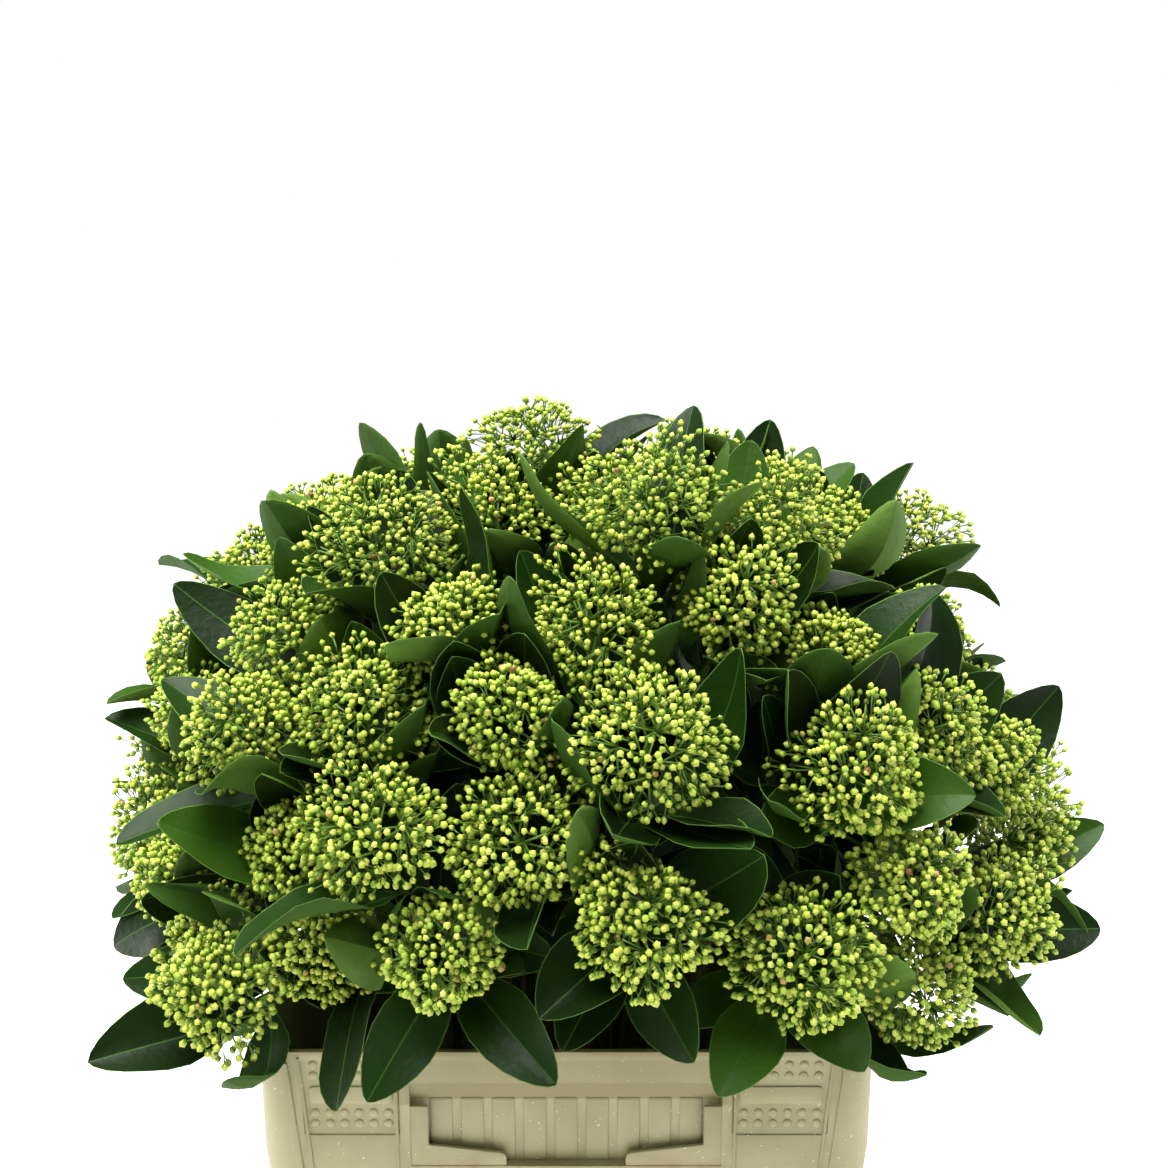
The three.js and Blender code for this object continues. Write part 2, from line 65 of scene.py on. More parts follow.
POCKET_WIDTH = 0.156
POCKET_HEIGHT = 0.048
POCKET_DROP = 0.017
POCKET_DEPTH = 0.006
BROW_HEIGHT = 0.013
PLATE = (0.048, 0.043)
PLATE_MIDDLE = 0.107
PLATE_DROP = 0.004
PLATE_DEPTH = 0.0008
PLATE_ROUND = 0.002
RIM_SOIL_WIDTH = 0.004
PANEL = (0.172, 0.185)
PANEL_DROP = 0.070
PANEL_DEPTH = 0.0014
PANEL_ROUND = 0.010
LONG_PANEL = (0.130, 0.190)
LONG_PANEL_DROP = 0.014
LONG_PANEL_MIDDLE = 0.078
SHORT_WALLS = (0, 2)
LONG_WALLS = (1, 3)
HANDS = (-1, 1)

CREAM = (181, 173, 131)
CREAM_WORN = (170, 162, 118)
SOIL = (142, 104, 52)
# Painted shade colour for the pocket's brow and the bar above it up to the rim.
BROW_PAINTED_SHADE = (140, 128, 82)
CHALK = (232, 228, 206)


class Value:
    """A number or colour in a finish, on which shader maths is written as arithmetic."""

    def __init__(self, finish, socket):
        self.finish = finish
        self.socket = socket

    def maths(self, operation, *operands):
        inputs = dict(enumerate(operands))
        return self.finish.node("Math", {"operation": operation}, inputs)

    def __add__(self, other):
        return self.maths("ADD", self, other)

    def __mul__(self, other):
        return self.maths("MULTIPLY", self, other)

    def __sub__(self, other):
        return self.maths("SUBTRACT", self, other)

    def __rsub__(self, other):
        return self.maths("SUBTRACT", other, self)

    __radd__ = __add__
    __rmul__ = __mul__


class Finish:
    """A surface finish: one shader whose numbers are set here, or come from nodes."""

    def __init__(self, name, colour, roughness, **numbers):
        self.material = bpy.data.materials.new(name)
        self.material.use_nodes = True
        self.tree = self.material.node_tree
        self.shader = self.tree.nodes["Principled BSDF"]
        self.place = self.node("TexCoord", {}, {}, "Object")
        self.put(**{"Base Color": linear(colour), "Roughness": roughness}, **numbers)

    def node(self, kind, settings, inputs, output=0):
        node = self.tree.nodes.new("ShaderNode" + kind)
        for name, setting in settings.items():
            if name == "stops":
                for element, (position, shade) in zip(node.color_ramp.elements, setting):
                    element.position = position
                    element.color = (shade, shade, shade, 1)
            else:
                setattr(node, name, setting)
        for name, value in inputs.items():
            self.fill(node.inputs[name], value)
        return Value(self, node.outputs[output])

    def fill(self, socket, value):
        if isinstance(value, Value):
            self.tree.links.new(value.socket, socket)
        else:
            socket.default_value = value

    def put(self, **inputs):
        for name, value in inputs.items():
            self.fill(self.shader.inputs[name], value)

    def noise(self, scale, detail=2.0):
        return self.node("TexNoise", {}, {"Vector": self.place, "Scale": scale,
                                          "Detail": detail}, "Fac")

    def step(self, value, low, high):
        """A mask that rises from 0 to 1 as a value goes from low to high."""
        stops = [(low, 0.0), (high, 1.0)]
        return self.node("ValToRGB", {"stops": stops}, {"Fac": value})

    def mixed(self, mask, first, second):
        return self.node("Mix", {"data_type": "RGBA"},
                         {"Factor": mask, "A": first, "B": second}, 2)

    def relief(self, height, distance):
        bump = self.node("Bump", {}, {"Height": height, "Distance": distance})
        self.put(Normal=bump)


def linear(colour):
    """A colour of three numbers up to 255, as the light it gives back."""
    shares = [part / 255 for part in colour]
    light = [((s + 0.055) / 1.055) ** 2.4 if s > 0.04045 else s / 12.92 for s in shares]
    return (*light, 1.0)


def add_box(name, low, high):
    """A box between two corners, as the active and only selected object."""
    bpy.ops.object.select_all(action="DESELECT")
    low, high = Vector(low), Vector(high)
    bpy.ops.mesh.primitive_cube_add(size=1, location=(low + high) / 2)
    piece = bpy.context.active_object
    piece.name = piece.data.name = name
    piece.scale = high - low
    bpy.ops.object.transform_apply(location=True, rotation=True, scale=True)
    return piece


def upright(start, end):
    """True for an edge that runs more up than across."""
    run = end - start
    return abs(run.z) > Vector((run.x, run.y)).length


def pick(piece, kind, wanted=None):
    """Opens a piece in edit mode with the faces or edges selected whose corners are all
    wanted, or else its upright edges."""
    bpy.ops.object.mode_set(mode="EDIT")
    bpy.ops.mesh.select_mode(type=kind)
    bpy.ops.mesh.select_all(action="DESELECT")
    bpy.ops.object.mode_set(mode="OBJECT")
    mesh = piece.data
    for element in mesh.polygons if kind == "FACE" else mesh.edges:
        corners = [mesh.vertices[v].co for v in element.vertices]
        element.select = all(map(wanted, corners)) if wanted else upright(*corners)
    bpy.ops.object.mode_set(mode="EDIT")


def done():
    bpy.ops.object.mode_set(mode="OBJECT")


def select_only(piece):
    bpy.ops.object.select_all(action="DESELECT")
    piece.select_set(True)
    bpy.context.view_layer.objects.active = piece


def apply_modifier(piece, kind, **settings):
    select_only(piece)
    modifier = piece.modifiers.new(kind.lower(), kind)
    for name, value in settings.items():
        setattr(modifier, name, value)
    bpy.ops.object.modifier_apply(modifier=modifier.name)


def combine(piece, tool, operation="DIFFERENCE"):
    """Cuts a tool's solid away from a piece or adds it, and removes the tool."""
    apply_modifier(piece, "BOOLEAN", operation=operation, solver="EXACT", object=tool)
    bpy.data.objects.remove(tool)


def round_edges(piece, width=EDGE_ROUND / 2):
    apply_modifier(piece, "BEVEL", width=width, segments=2, limit_method="ANGLE",
                   angle_limit=SMOOTH_ANGLE)


def on_wall(piece, wall):
    """Moves a piece on to a wall. It is drawn with x across, y up and z out, from the
    top of the wall's slope: the rim on a short wall, the band's foot on a long one."""
    slope, reach, top = ((WALL_SLOPE, RIM_HALF.y, TUB_HEIGHT) if wall in SHORT_WALLS
                         else (SIDE_SLOPE, RIM_HALF.x, BAND_FOOT))
    place = Matrix.Rotation(wall * math.pi / 2, 4, "Z")
    place = place @ Matrix.Translation((0, -reach, top))
    place = place @ Matrix.Rotation(math.pi / 2 + slope, 4, "X")
    select_only(piece)
    piece.matrix_world = place
    bpy.ops.object.transform_apply(location=True, rotation=True, scale=True)
    return piece


def wall_box(wall, across, drop, size, inner, outer, rounding=0.0):
    """A box on a wall: its middle across, its drop from the rim, its width and height,
    and how far its two faces stand out of the wall."""
    width, height = size
    piece = add_box("tool", (across - width / 2, -drop - height, inner),
                    (across + width / 2, -drop, outer))
    if rounding:
        pick(piece, "EDGE")
        bpy.ops.mesh.bevel(offset=rounding, segments=5, affect="EDGES")
        done()
    return on_wall(piece, wall)


def pocket_cutter(wall):
    """The space of a card pocket: a box whose upper part slopes in under a brow."""
    piece = add_box("tool", (-POCKET_WIDTH / 2, -POCKET_DROP - POCKET_HEIGHT,
                             -POCKET_DEPTH), (POCKET_WIDTH / 2, -POCKET_DROP, 2 * WALL))
    brow_line = -POCKET_DROP - BROW_HEIGHT
    pick(piece, "EDGE", lambda c: c.z < 0 and c.y > brow_line)
    bpy.ops.transform.translate(value=(0, -BROW_HEIGHT, 0))
    done()
    pick(piece, "EDGE", lambda c: c.z > WALL and c.y > brow_line)
    lift = BROW_HEIGHT * 2 * WALL / POCKET_DEPTH
    bpy.ops.transform.translate(value=(0, lift, 0))
    done()
    return on_wall(piece, wall)


def make_tub():
    tub = add_box("tub", (-RIM_HALF.x, -RIM_HALF.y, 0),
                  (RIM_HALF.x, RIM_HALF.y, TUB_HEIGHT))
    pick(tub, "FACE", lambda c: c.z < WALL)
    taper = (FOOT_HALF.x / RIM_HALF.x, FOOT_HALF.y / RIM_HALF.y, 1)
    bpy.ops.transform.resize(value=taper)
    bpy.ops.mesh.select_all(action="SELECT")
    bpy.ops.mesh.bisect(plane_co=(0, 0, BAND_FOOT), plane_no=(0, 0, 1))
    done()
    pick(tub, "EDGE", lambda c: abs(c.z - BAND_FOOT) < WALL)
    narrowed = FOOT_HALF.x + (RIM_HALF.x - FOOT_HALF.x) * BAND_FOOT / TUB_HEIGHT
    bpy.ops.transform.resize(value=(RIM_HALF.x / narrowed, 1, 1))
    done()
    pick(tub, "EDGE")
    bpy.ops.mesh.bevel(offset=CORNER_ROUND, segments=CORNER_SEGMENTS, affect="EDGES")
    done()
    pick(tub, "FACE", lambda c: c.z > TUB_HEIGHT - WALL)
    bpy.ops.mesh.delete(type="FACE")
    done()
    apply_modifier(tub, "SOLIDIFY", thickness=WALL, offset=-1, use_even_offset=True,
                   use_quality_normals=True)
    return tub


tub = make_tub()
backing = (POCKET_WIDTH + 2 * WALL, POCKET_HEIGHT + 2 * WALL)
for wall in SHORT_WALLS:
    combine(tub, wall_box(wall, 0, POCKET_DROP - WALL, backing,
                          -POCKET_DEPTH - WALL, -WALL / 2), "UNION")
    combine(tub, pocket_cutter(wall))
    combine(tub, wall_box(wall, 0, PANEL_DROP, PANEL, -PANEL_DEPTH, WALL, PANEL_ROUND))
    for hand in HANDS:
        combine(tub, wall_box(wall, hand * PLATE_MIDDLE, PLATE_DROP, PLATE,
                              -PLATE_DEPTH, WALL, PLATE_ROUND))
for wall in LONG_WALLS:
    for hand in HANDS:
        combine(tub, wall_box(wall, hand * LONG_PANEL_MIDDLE, LONG_PANEL_DROP,
                              LONG_PANEL, -PANEL_DEPTH, WALL, PANEL_ROUND))
round_edges(tub, EDGE_ROUND)


def cream_finish():
    """Worn cream plastic: faint clouds and scuffs, soil in the pocket and at the rim, and
    painted shade on the pocket's brow and on the bar above it.
    """
    finish = Finish("cream_plastic", CREAM, 0.42, **{"IOR": 1.49})
    clouds = finish.step(finish.noise(22.0, 4.0), 0.38, 0.66)
    worn = finish.mixed(clouds, linear(CREAM), linear(CREAM_WORN))
    specks = finish.step(finish.noise(520.0, 1.0), 0.735, 0.76)
    chalked = finish.mixed(specks * 0.7, worn, linear(CHALK))
    height = finish.node("SeparateXYZ", {}, {"Vector": finish.place}, "Z")
    across = finish.node("SeparateXYZ", {}, {"Vector": finish.place}, "X")

    def past(distance, low, high, sharpness=60.0):
        """A mask that rises within a few millimetres past a line."""
        return finish.step(distance * sharpness, low, high)

    pocket_foot = TUB_HEIGHT - POCKET_DROP - POCKET_HEIGHT
    above_foot = past(height - pocket_foot, 0.05, 0.45)
    below_foot = past(pocket_foot - height, 0.1, 0.3)
    at_rim = past(height - (TUB_HEIGHT - RIM_SOIL_WIDTH), 0.2, 0.9, 200.0)
    patches = finish.step(finish.noise(38.0, 3.0), 0.42, 0.62)
    beside = finish.step(finish.node("Math", {"operation": "ABSOLUTE"}, {0: across}),
                         POCKET_WIDTH / 2, POCKET_WIDTH / 2 + 0.01)
    in_pocket = (1 - above_foot) * (1 - below_foot) * (1 - beside)
    # Painted shade: the brow that slopes in over each pocket, and the bar above it up to
    # the rim, are darkened towards a shade colour that stands in for the shade the brow and
    # the leaves cast there.
    brow_line = TUB_HEIGHT - POCKET_DROP
    under_line = past(brow_line - height, 0.0, 0.06)
    over_foot = past(height - (brow_line - BROW_HEIGHT), 0.0, 0.06)
    under_brow = under_line * over_foot * (1 - beside)
    over_pocket = (1 - under_line) * (1 - beside)
    shaded = finish.mixed(under_brow * 0.8 + over_pocket * 0.5, chalked,
                          linear(BROW_PAINTED_SHADE))
    soiled = in_pocket * 0.42 + at_rim * 0.3
    finish.put(**{"Base Color": finish.mixed(soiled * patches, shaded, linear(SOIL))})
    finish.put(Roughness=finish.noise(60.0, 3.0) * 0.25 + 0.3)
    finish.relief(finish.noise(900.0, 2.0), 0.00006)
    return finish.material


cream = cream_finish()


def finish_piece(piece, materials, slot, *replaced):
    """Gives a piece its materials and its smooth faces, and ties it to the frame."""
    select_only(piece)
    bpy.ops.object.shade_smooth_by_angle(angle=SMOOTH_ANGLE)
    for material in materials:
        piece.data.materials.append(material)
    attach(piece, "root")
    if replaced:
        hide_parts(*replaced)


finish_piece(tub, [cream], "bucket_plastic", "bucket")

# ---- Card pockets -------------------------------------------------------------------
# A card slides down behind two angled flanges in each short wall's pocket and leans on
# ribs moulded on its back. The flanges and ribs are part of the same moulding.

FLANGE_POST = 0.009
FLANGE_FOOT = 0.048
FLANGE_HEEL = 0.012
FLANGE_TOE = 0.007
FLANGE_THICK = 0.0022
FLANGE_SINK = 0.0004
FLANGE_ROOT = 0.001
FLANGE_TOP_GAP = 0.001
FLANGE_TOE_ROUND = 0.003
RIB_WIDTH = 0.0112
RIB_PITCH = 0.0157
RIB_COUNT = 9
RIB_RISE = 0.0009
RIB_INTO_BROW = 0.0012


def join_all(name, parts):
    """Joins parts to one object of that name."""
    bpy.ops.object.select_all(action="DESELECT")
    for part in parts:
        part.select_set(True)
    bpy.context.view_layer.objects.active = parts[0]
    bpy.ops.object.join()
    parts[0].name = parts[0].data.name = name
    return parts[0]


def make_flange(wall, hand):
    """An angled flange: the heel block is drawn up to a post and across to a foot."""
    end = -POCKET_WIDTH / 2
    sill = -POCKET_DROP - POCKET_HEIGHT
    front = -FLANGE_SINK
    flange = add_box("flange", (end - FLANGE_ROOT, sill - FLANGE_ROOT,
                                front - FLANGE_THICK),
                     (end + FLANGE_POST, sill + FLANGE_HEEL, front))
    heel_line = sill + FLANGE_HEEL - EDGE_ROUND
    pick(flange, "FACE", lambda c: c.y > heel_line)
    post = POCKET_HEIGHT - BROW_HEIGHT - FLANGE_HEEL - FLANGE_TOP_GAP
    bpy.ops.mesh.extrude_region_move(TRANSFORM_OT_translate={"value": (0, post, 0)})
    done()
    inner = end + FLANGE_POST - EDGE_ROUND
    pick(flange, "FACE", lambda c: c.x > inner and c.y < heel_line + 2 * EDGE_ROUND)
    reach = FLANGE_FOOT - FLANGE_POST
    bpy.ops.mesh.extrude_region_move(TRANSFORM_OT_translate={"value": (reach, 0, 0)})
    done()
    toe = end + FLANGE_FOOT - EDGE_ROUND
    pick(flange, "EDGE", lambda c: c.x > toe and c.y > sill)
    bpy.ops.transform.translate(value=(0, FLANGE_TOE - FLANGE_HEEL, 0))
    bpy.ops.mesh.bevel(offset=FLANGE_TOE_ROUND, segments=4, affect="EDGES")
    done()
    round_edges(flange)
    if hand > 0:
        flange.scale.x = -1
        bpy.ops.object.transform_apply(location=False, rotation=False, scale=True)
        pick(flange, "FACE", lambda c: True)
        bpy.ops.mesh.normals_make_consistent(inside=False)
        done()
    return on_wall(flange, wall)


def repeat_across(piece, count, pitch):
    apply_modifier(piece, "ARRAY", count=count, use_relative_offset=False,
                   use_constant_offset=True, constant_offset_displace=(pitch, 0, 0))


def make_ribs(wall):
    """The low ribs on a pocket's back, one drawn and the rest an array of it."""
    first = -RIB_PITCH * (RIB_COUNT - 1) / 2
    top = -POCKET_DROP - BROW_HEIGHT + RIB_INTO_BROW
    sill = -POCKET_DROP - POCKET_HEIGHT
    ribs = add_box("ribs", (first - RIB_WIDTH / 2, sill - WALL / 2,
                            -POCKET_DEPTH - WALL / 2),
                   (first + RIB_WIDTH / 2, top, -POCKET_DEPTH + RIB_RISE))
    round_edges(ribs)
    repeat_across(ribs, RIB_COUNT, RIB_PITCH)
    return on_wall(ribs, wall)


def mould_on(name, parts):
    """Joins parts that are moulded in one with the tub."""
    finish_piece(join_all(name, parts), [cream], "bucket_plastic")


sides = [(wall, hand) for wall in SHORT_WALLS for hand in HANDS]
mould_on("card_flanges", [make_flange(*side) for side in sides])
mould_on("pocket_ribs", [make_ribs(wall) for wall in SHORT_WALLS])

# ---- Dotted plates and wall bars ----------------------------------------------------
# Rows of low round dots give a label something to stick to, above and below a bare
# raised plate. Fine bars frame each short wall's flat, and each line gives how far
# across a bar is at its top and at its foot, and its drop from the rim.

DOT_RADIUS = 0.0024
DOT_RISE = 0.0009
DOT_PITCH = 0.0073
DOTS_IN_ROW = 6
DOT_ROWS = (0.0075, 0.0135, 0.0345, 0.0405)
BARE_PLATE = (0.041, 0.0095)
BARE_PLATE_DROP = 0.0195
BAR_LINES = ((0.1385, 0.1135, 0.006), (0.0845, 0.0845, 0.003), (0.1325, 0.1115, 0.003))
BAR_FOOT = 0.275
BAR_WIDTH = 0.0016
BAR_RISE = 0.0009


def make_dots(wall, hand):
    """One dot is a flattened ball, and each row an array of it."""
    rows = []
    for drop in DOT_ROWS:
        bpy.ops.object.select_all(action="DESELECT")
        first = hand * PLATE_MIDDLE - DOT_PITCH * (DOTS_IN_ROW - 1) / 2
        bpy.ops.mesh.primitive_uv_sphere_add(segments=14, ring_count=8, radius=DOT_RADIUS,
                                             location=(first, -drop, -PLATE_DEPTH))
        row = bpy.context.active_object
        row.scale.z = DOT_RISE / DOT_RADIUS
        bpy.ops.object.transform_apply(location=True, rotation=True, scale=True)
        repeat_across(row, DOTS_IN_ROW, DOT_PITCH)
        rows.append(row)
    return on_wall(join_all("dots", rows), wall)


def make_bare_plate(wall, hand):
    plate = wall_box(wall, hand * PLATE_MIDDLE, BARE_PLATE_DROP, BARE_PLATE,
                     -PLATE_DEPTH - WALL / 2, -PLATE_DEPTH + DOT_RISE, PLATE_ROUND)
    round_edges(plate)
    return plate


def make_bar(wall, hand, top_across, foot_across, drop):
    """A low bar down a wall, from its place at the top to its place at the foot."""
    half = BAR_WIDTH / 2
    bar = add_box("bar", (hand * top_across - half, -BAR_FOOT, -WALL / 2),
                  (hand * top_across + half, -drop, BAR_RISE))
    pick(bar, "FACE", lambda c: c.y < -BAR_FOOT + half)
    bpy.ops.transform.translate(value=(hand * (foot_across - top_across), 0, 0))
    done()
    round_edges(bar)
    return on_wall(bar, wall)


mould_on("plate_dots", [make_dots(*side) for side in sides])
mould_on("bare_plates", [make_bare_plate(*side) for side in sides])
mould_on("wall_bars", [make_bar(*side, *line) for side in sides for line in BAR_LINES])

# ---- Cut stems ----------------------------------------------------------------------
# Bare young stems stand in the bucket on their flat cuts, one for each spray of the
# bunch. The bunch is a dome. Its sprays are dealt out over it by a seeded rule, and
# the same rule places all that grows on them. Sizes from here on are in millimetres.

MM = 0.001
RIM_LEVEL = 1000 * TUB_HEIGHT
SPRAYS = 28
BLOOMS_PER_SPRAY = 3
DOME_HALF = 244
DOME_RISE = 258
DOME_LEVEL = 296
DOME_MIDDLE = 10
DOME_SQUARENESS = 2.3
DOME_BOXINESS = 0.88
LOWEST_TILT = math.radians(88)
LOW_SHARE = 0.9
OVER_RIM_X = 41
OVER_RIM_Y = 46
RIM_LIFT = 34
BLOOMS_APART = 61
SETTLING_ROUNDS = 8
TILT_JITTER = math.radians(4)
TURN_JITTER = 0.16
FORK_JITTER = 0.25
SPREAD_JITTER = 0.12
FIRST_TURN = 4.17
SPRAY_SPREAD = 40
BLOOM_SHIFT = 12
BLOOM_LIFT = 0.42
SIZE_SPREAD = 0.2
SPREAD_SIDEWAYS = 0.3
GOLDEN_TURN = math.pi * (3 - math.sqrt(5))
SEED = 129509

FORK_SHARE = 0.54
FORK_LEVEL = 290
STEM_FOOT_SHARE = 0.78
STEM_BEND = (0.8, 0.8, 0.6)
STEM_RADII = (3.6, 2.8)
STEM_SIDES = 10
STEM_RINGS = 44
STUB_LENGTH = 10
FLOOR = 3
GAP = 0.3
RIDGE_RISE = 0.06
RIDGE_TWIST = 0.02
ROUGH_RISE = 0.05
SCAR_PITCH = 34
SCAR_HALF = 2.2
SCAR_RISE = 0.55
CURVE_POINTS = 201

STEM_GREEN = (96, 116, 52)
STEM_BROWN = (112, 96, 58)
CUT_WOOD = (214, 208, 160)
BARK, CUT = range(2)


def chance(*keys):
    """A number from 0 to 1 that depends only on the seed and on the keys."""
    whole = 0xFFFFFFFF
    mix = (SEED * 2654435761) & whole
    for key in keys:
        mix = ((mix ^ (key + 0x9E3779B9)) * 0x85EBCA6B) & whole
        mix ^= mix >> 13
        mix = (mix * 0xC2B2AE35) & whole
        mix ^= mix >> 16
    return mix / 2 ** 32


def swing(*keys):
    """The same number, from -1 to 1."""
    return 2 * chance(*keys) - 1


def unit(vector):
    return vector / np.linalg.norm(vector)


def units(vectors):
    return vectors / np.linalg.norm(vectors, axis=1)[:, None]


def square_to(axis):
    """Two directions square to an axis and to each other."""
    helper = (0, 0, 1) if abs(axis[2]) < 0.95 else (0, 1, 0)
    across = unit(np.cross(helper, axis))
    return across, np.cross(axis, across)


def around(axis, angle):
    """The direction at an angle around an axis."""
    across, forward = square_to(axis)
    return across * math.cos(angle) + forward * math.sin(angle)


def on_dome(turn, tilt):
    """A point on the dome, and the outward direction there."""
    c, s = math.cos(turn), math.sin(turn)
    reach = (abs(c / DOME_HALF) ** DOME_SQUARENESS
             + abs(s / DOME_HALF) ** DOME_SQUARENESS) ** (-1 / DOME_SQUARENESS)
    out = reach * math.sin(tilt) ** DOME_BOXINESS
    up = DOME_RISE * math.cos(tilt) ** DOME_BOXINESS
    point = np.array((DOME_MIDDLE + out * c, out * s, DOME_LEVEL + up))
    outward = np.array((out * c / DOME_HALF ** 2, out * s / DOME_HALF ** 2,
                        up / DOME_RISE ** 2))
    return point, unit(outward)


def lift_over_rim(centre):
    """Raises the middle of a bloom that would sit on the bucket's rim."""
    over_x = abs(centre[0]) < 1000 * RIM_HALF.x + OVER_RIM_X
    over_y = abs(centre[1]) < 1000 * RIM_HALF.y + OVER_RIM_Y
    if over_x and over_y:
        centre[2] = max(centre[2], RIM_LEVEL + RIM_LIFT)


def lay_out_spray(i):
    """One spray: its fork, and for each bloom a middle, a growing direction, a size."""
    share = ((i + 0.5) / SPRAYS) ** LOW_SHARE
    even = math.acos(1 - share * (1 - math.cos(LOWEST_TILT)))
    tilt = min(max(even + TILT_JITTER * swing(i, 2), 0), LOWEST_TILT)
    turn = FIRST_TURN + i * GOLDEN_TURN + TURN_JITTER * swing(i, 1)
    middle, outward = on_dome(turn, tilt)
    first_angle = 2 * math.pi * chance(i, 3)
    fork_root = np.array((0, 0, FORK_LEVEL), float)
    fork = fork_root + (middle - fork_root) * FORK_SHARE
    blooms = []
    for k in range(BLOOMS_PER_SPRAY):
        angle = first_angle + 2 * math.pi * k / BLOOMS_PER_SPRAY
        aside = around(outward, angle + FORK_JITTER * swing(i, 4, k))
        spread = SPRAY_SPREAD * (1 + SPREAD_JITTER * swing(i, 5, k))
        centre = middle + aside * spread + outward * BLOOM_SHIFT * swing(i, 6, k)
        lift_over_rim(centre)
        axis = unit((1 - BLOOM_LIFT) * outward + (0, 0, BLOOM_LIFT))
        axis = unit(axis + SPREAD_SIDEWAYS * aside)
        size = 1 + SIZE_SPREAD * swing(i, 7, k)
        blooms.append({"centre": centre, "axis": axis, "size": size, "keys": (i, k),
                       "fork": fork})
    return {"fork": fork, "blooms": blooms}


def settle(blooms):
    """Pushes blooms apart that crowd each other, a little at a time."""
    for _ in range(SETTLING_ROUNDS):
        for i, one in enumerate(blooms):
            for other in blooms[:i]:
                between = one["centre"] - other["centre"]
                distance = math.sqrt(between @ between)
                apart = BLOOMS_APART * (one["size"] + other["size"]) / 2
                if distance >= apart:
                    continue
                push = between * ((apart - distance) / 2 / distance)
                one["centre"] += push
                other["centre"] -= push
                lift_over_rim(one["centre"])
                lift_over_rim(other["centre"])


sprays = [lay_out_spray(i) for i in range(SPRAYS)]
blooms = [bloom for spray in sprays for bloom in spray["blooms"]]
settle(blooms)


def arc(start, bend, end, shares):
    """Points on the curve that leaves start and reaches end, drawn towards bend."""
    t = np.asarray(shares, float)[:, None]
    return start * (1 - t) ** 2 + bend * 2 * t * (1 - t) + end * t ** 2


def measured_arc(start, bend, end):
    """Close points on such a curve, and how far along it each one is."""
    points = arc(start, bend, end, np.linspace(0, 1, CURVE_POINTS))
    steps = np.linalg.norm(np.diff(points, axis=0), axis=1)
    return points, np.concatenate([[0], np.cumsum(steps)])


def along(points, runs, wanted):
    """The point, or points, at a distance along a measured curve."""
    return np.stack([np.interp(wanted, runs, points[:, i]) for i in range(3)], axis=-1)


def even_line(start, bend, end, count):
    points, runs = measured_arc(start, bend, end)
    return along(points, runs, np.linspace(0, runs[-1], count))


def stem_line(fork, count):
    """The line of a stem from its cut on the bucket's floor to its spray's fork."""
    foot = np.array((fork[0] * STEM_FOOT_SHARE, fork[1] * STEM_FOOT_SHARE, FLOOR + GAP))
    return even_line(foot, fork * STEM_BEND, fork, count)


def ring_faces(rings, sides):
    """The side faces, row by row, and the two end faces of a closed row of rings."""
    faces = []
    last = (rings - 1) * sides
    for low in range(0, last, sides):
        for s in range(sides):
            after = (s + 1) % sides
            faces.append((low + s, low + after, low + sides + after, low + sides + s))
    return faces, [tuple(range(sides))[::-1], tuple(range(last, last + sides))]


def tube(line, radii, sides, relief=None):
    """A closed tube along a line. Relief is each point's rise as a share of its radius.
    Returns its points, its side faces and its two end faces."""
    ahead = units(np.gradient(line, axis=0))
    steady = np.zeros(3)
    steady[np.argmin(np.abs(line[-1] - line[0]))] = 1
    across = units(np.cross(steady, ahead))
    forward = np.cross(ahead, across)
    angles = 2 * math.pi * np.arange(sides) / sides
    ring = (across[:, None] * np.cos(angles)[:, None]
            + forward[:, None] * np.sin(angles)[:, None])
    reach = np.broadcast_to(np.asarray(radii, float)[:, None], (len(line), sides))
    if relief is not None:
        reach = reach * (1 + relief)
    points = (line[:, None] + ring * reach[:, :, None]).reshape(-1, 3)
    return points, *ring_faces(len(line), sides)


class Growth:
    """Many small shapes gathered as one mesh, each face with the number of its finish."""

    def __init__(self):
        self.points, self.faces, self.finishes, self.count = [], [], [], 0

    def add(self, points, faces, finishes):
        """Adds a shape. Finishes is one number, or one for each face."""
        self.points.append(points)
        self.faces.extend(tuple(v + self.count for v in face) for face in faces)
        self.finishes.append(np.broadcast_to(finishes, len(faces)))
        self.count += len(points)

    def build(self, name, materials, slot, *replaced):
        """Makes the mesh, in metres, and ties it to the frame."""
        mesh = bpy.data.meshes.new(name)
        mesh.from_pydata(np.concatenate(self.points) * MM, [], self.faces)
        piece = bpy.data.objects.new(name, mesh)
        bpy.context.scene.collection.objects.link(piece)
        for material in materials:
            mesh.materials.append(material)
        mesh.polygons.foreach_set("material_index", np.concatenate(self.finishes))
        mesh.polygons.foreach_set("use_smooth", np.ones(len(self.faces), bool))
        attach(piece, "root")
        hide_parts(*replaced)


def grow_stem(growth, i, fork):
    """One stem: ridged bark that swells at each old leaf's scar, and a pale cut end."""
    line = stem_line(fork, STEM_RINGS + 1)
    length = np.linalg.norm(np.diff(line, axis=0), axis=1).sum()
    share = 1 - STUB_LENGTH / length
    line = stem_line(fork, 4 * STEM_RINGS)[: int(share * 4 * STEM_RINGS): 4]
    line[0] = stem_line(fork, 2)[0]
    ups = np.linspace(0, share * length, len(line))[:, None]
    sides = np.arange(STEM_SIDES)[None, :]
    angles = 2 * math.pi * sides / STEM_SIDES
    ridges = RIDGE_RISE * np.sin(3 * angles + RIDGE_TWIST * ups + 6 * chance(i, 60))
    rough = np.sin(ups * 1.7 + 5.1 * sides) * np.sin(ups * 0.61 + 2.3 * sides)
    scar = np.exp(-((ups % SCAR_PITCH - SCAR_PITCH / 2) / SCAR_HALF) ** 2)
    facing = np.clip(np.cos(angles - GOLDEN_TURN * np.floor(ups / SCAR_PITCH)), 0, 1)
    relief = ridges + ROUGH_RISE * rough + SCAR_RISE * scar * facing ** 2
    radii = np.linspace(*STEM_RADII, len(line))
    points, faces, ends = tube(line, radii, STEM_SIDES, relief)
    points[:STEM_SIDES, 2] = FLOOR + GAP
    growth.add(points, faces + ends, [BARK] * len(faces) + [CUT, CUT])


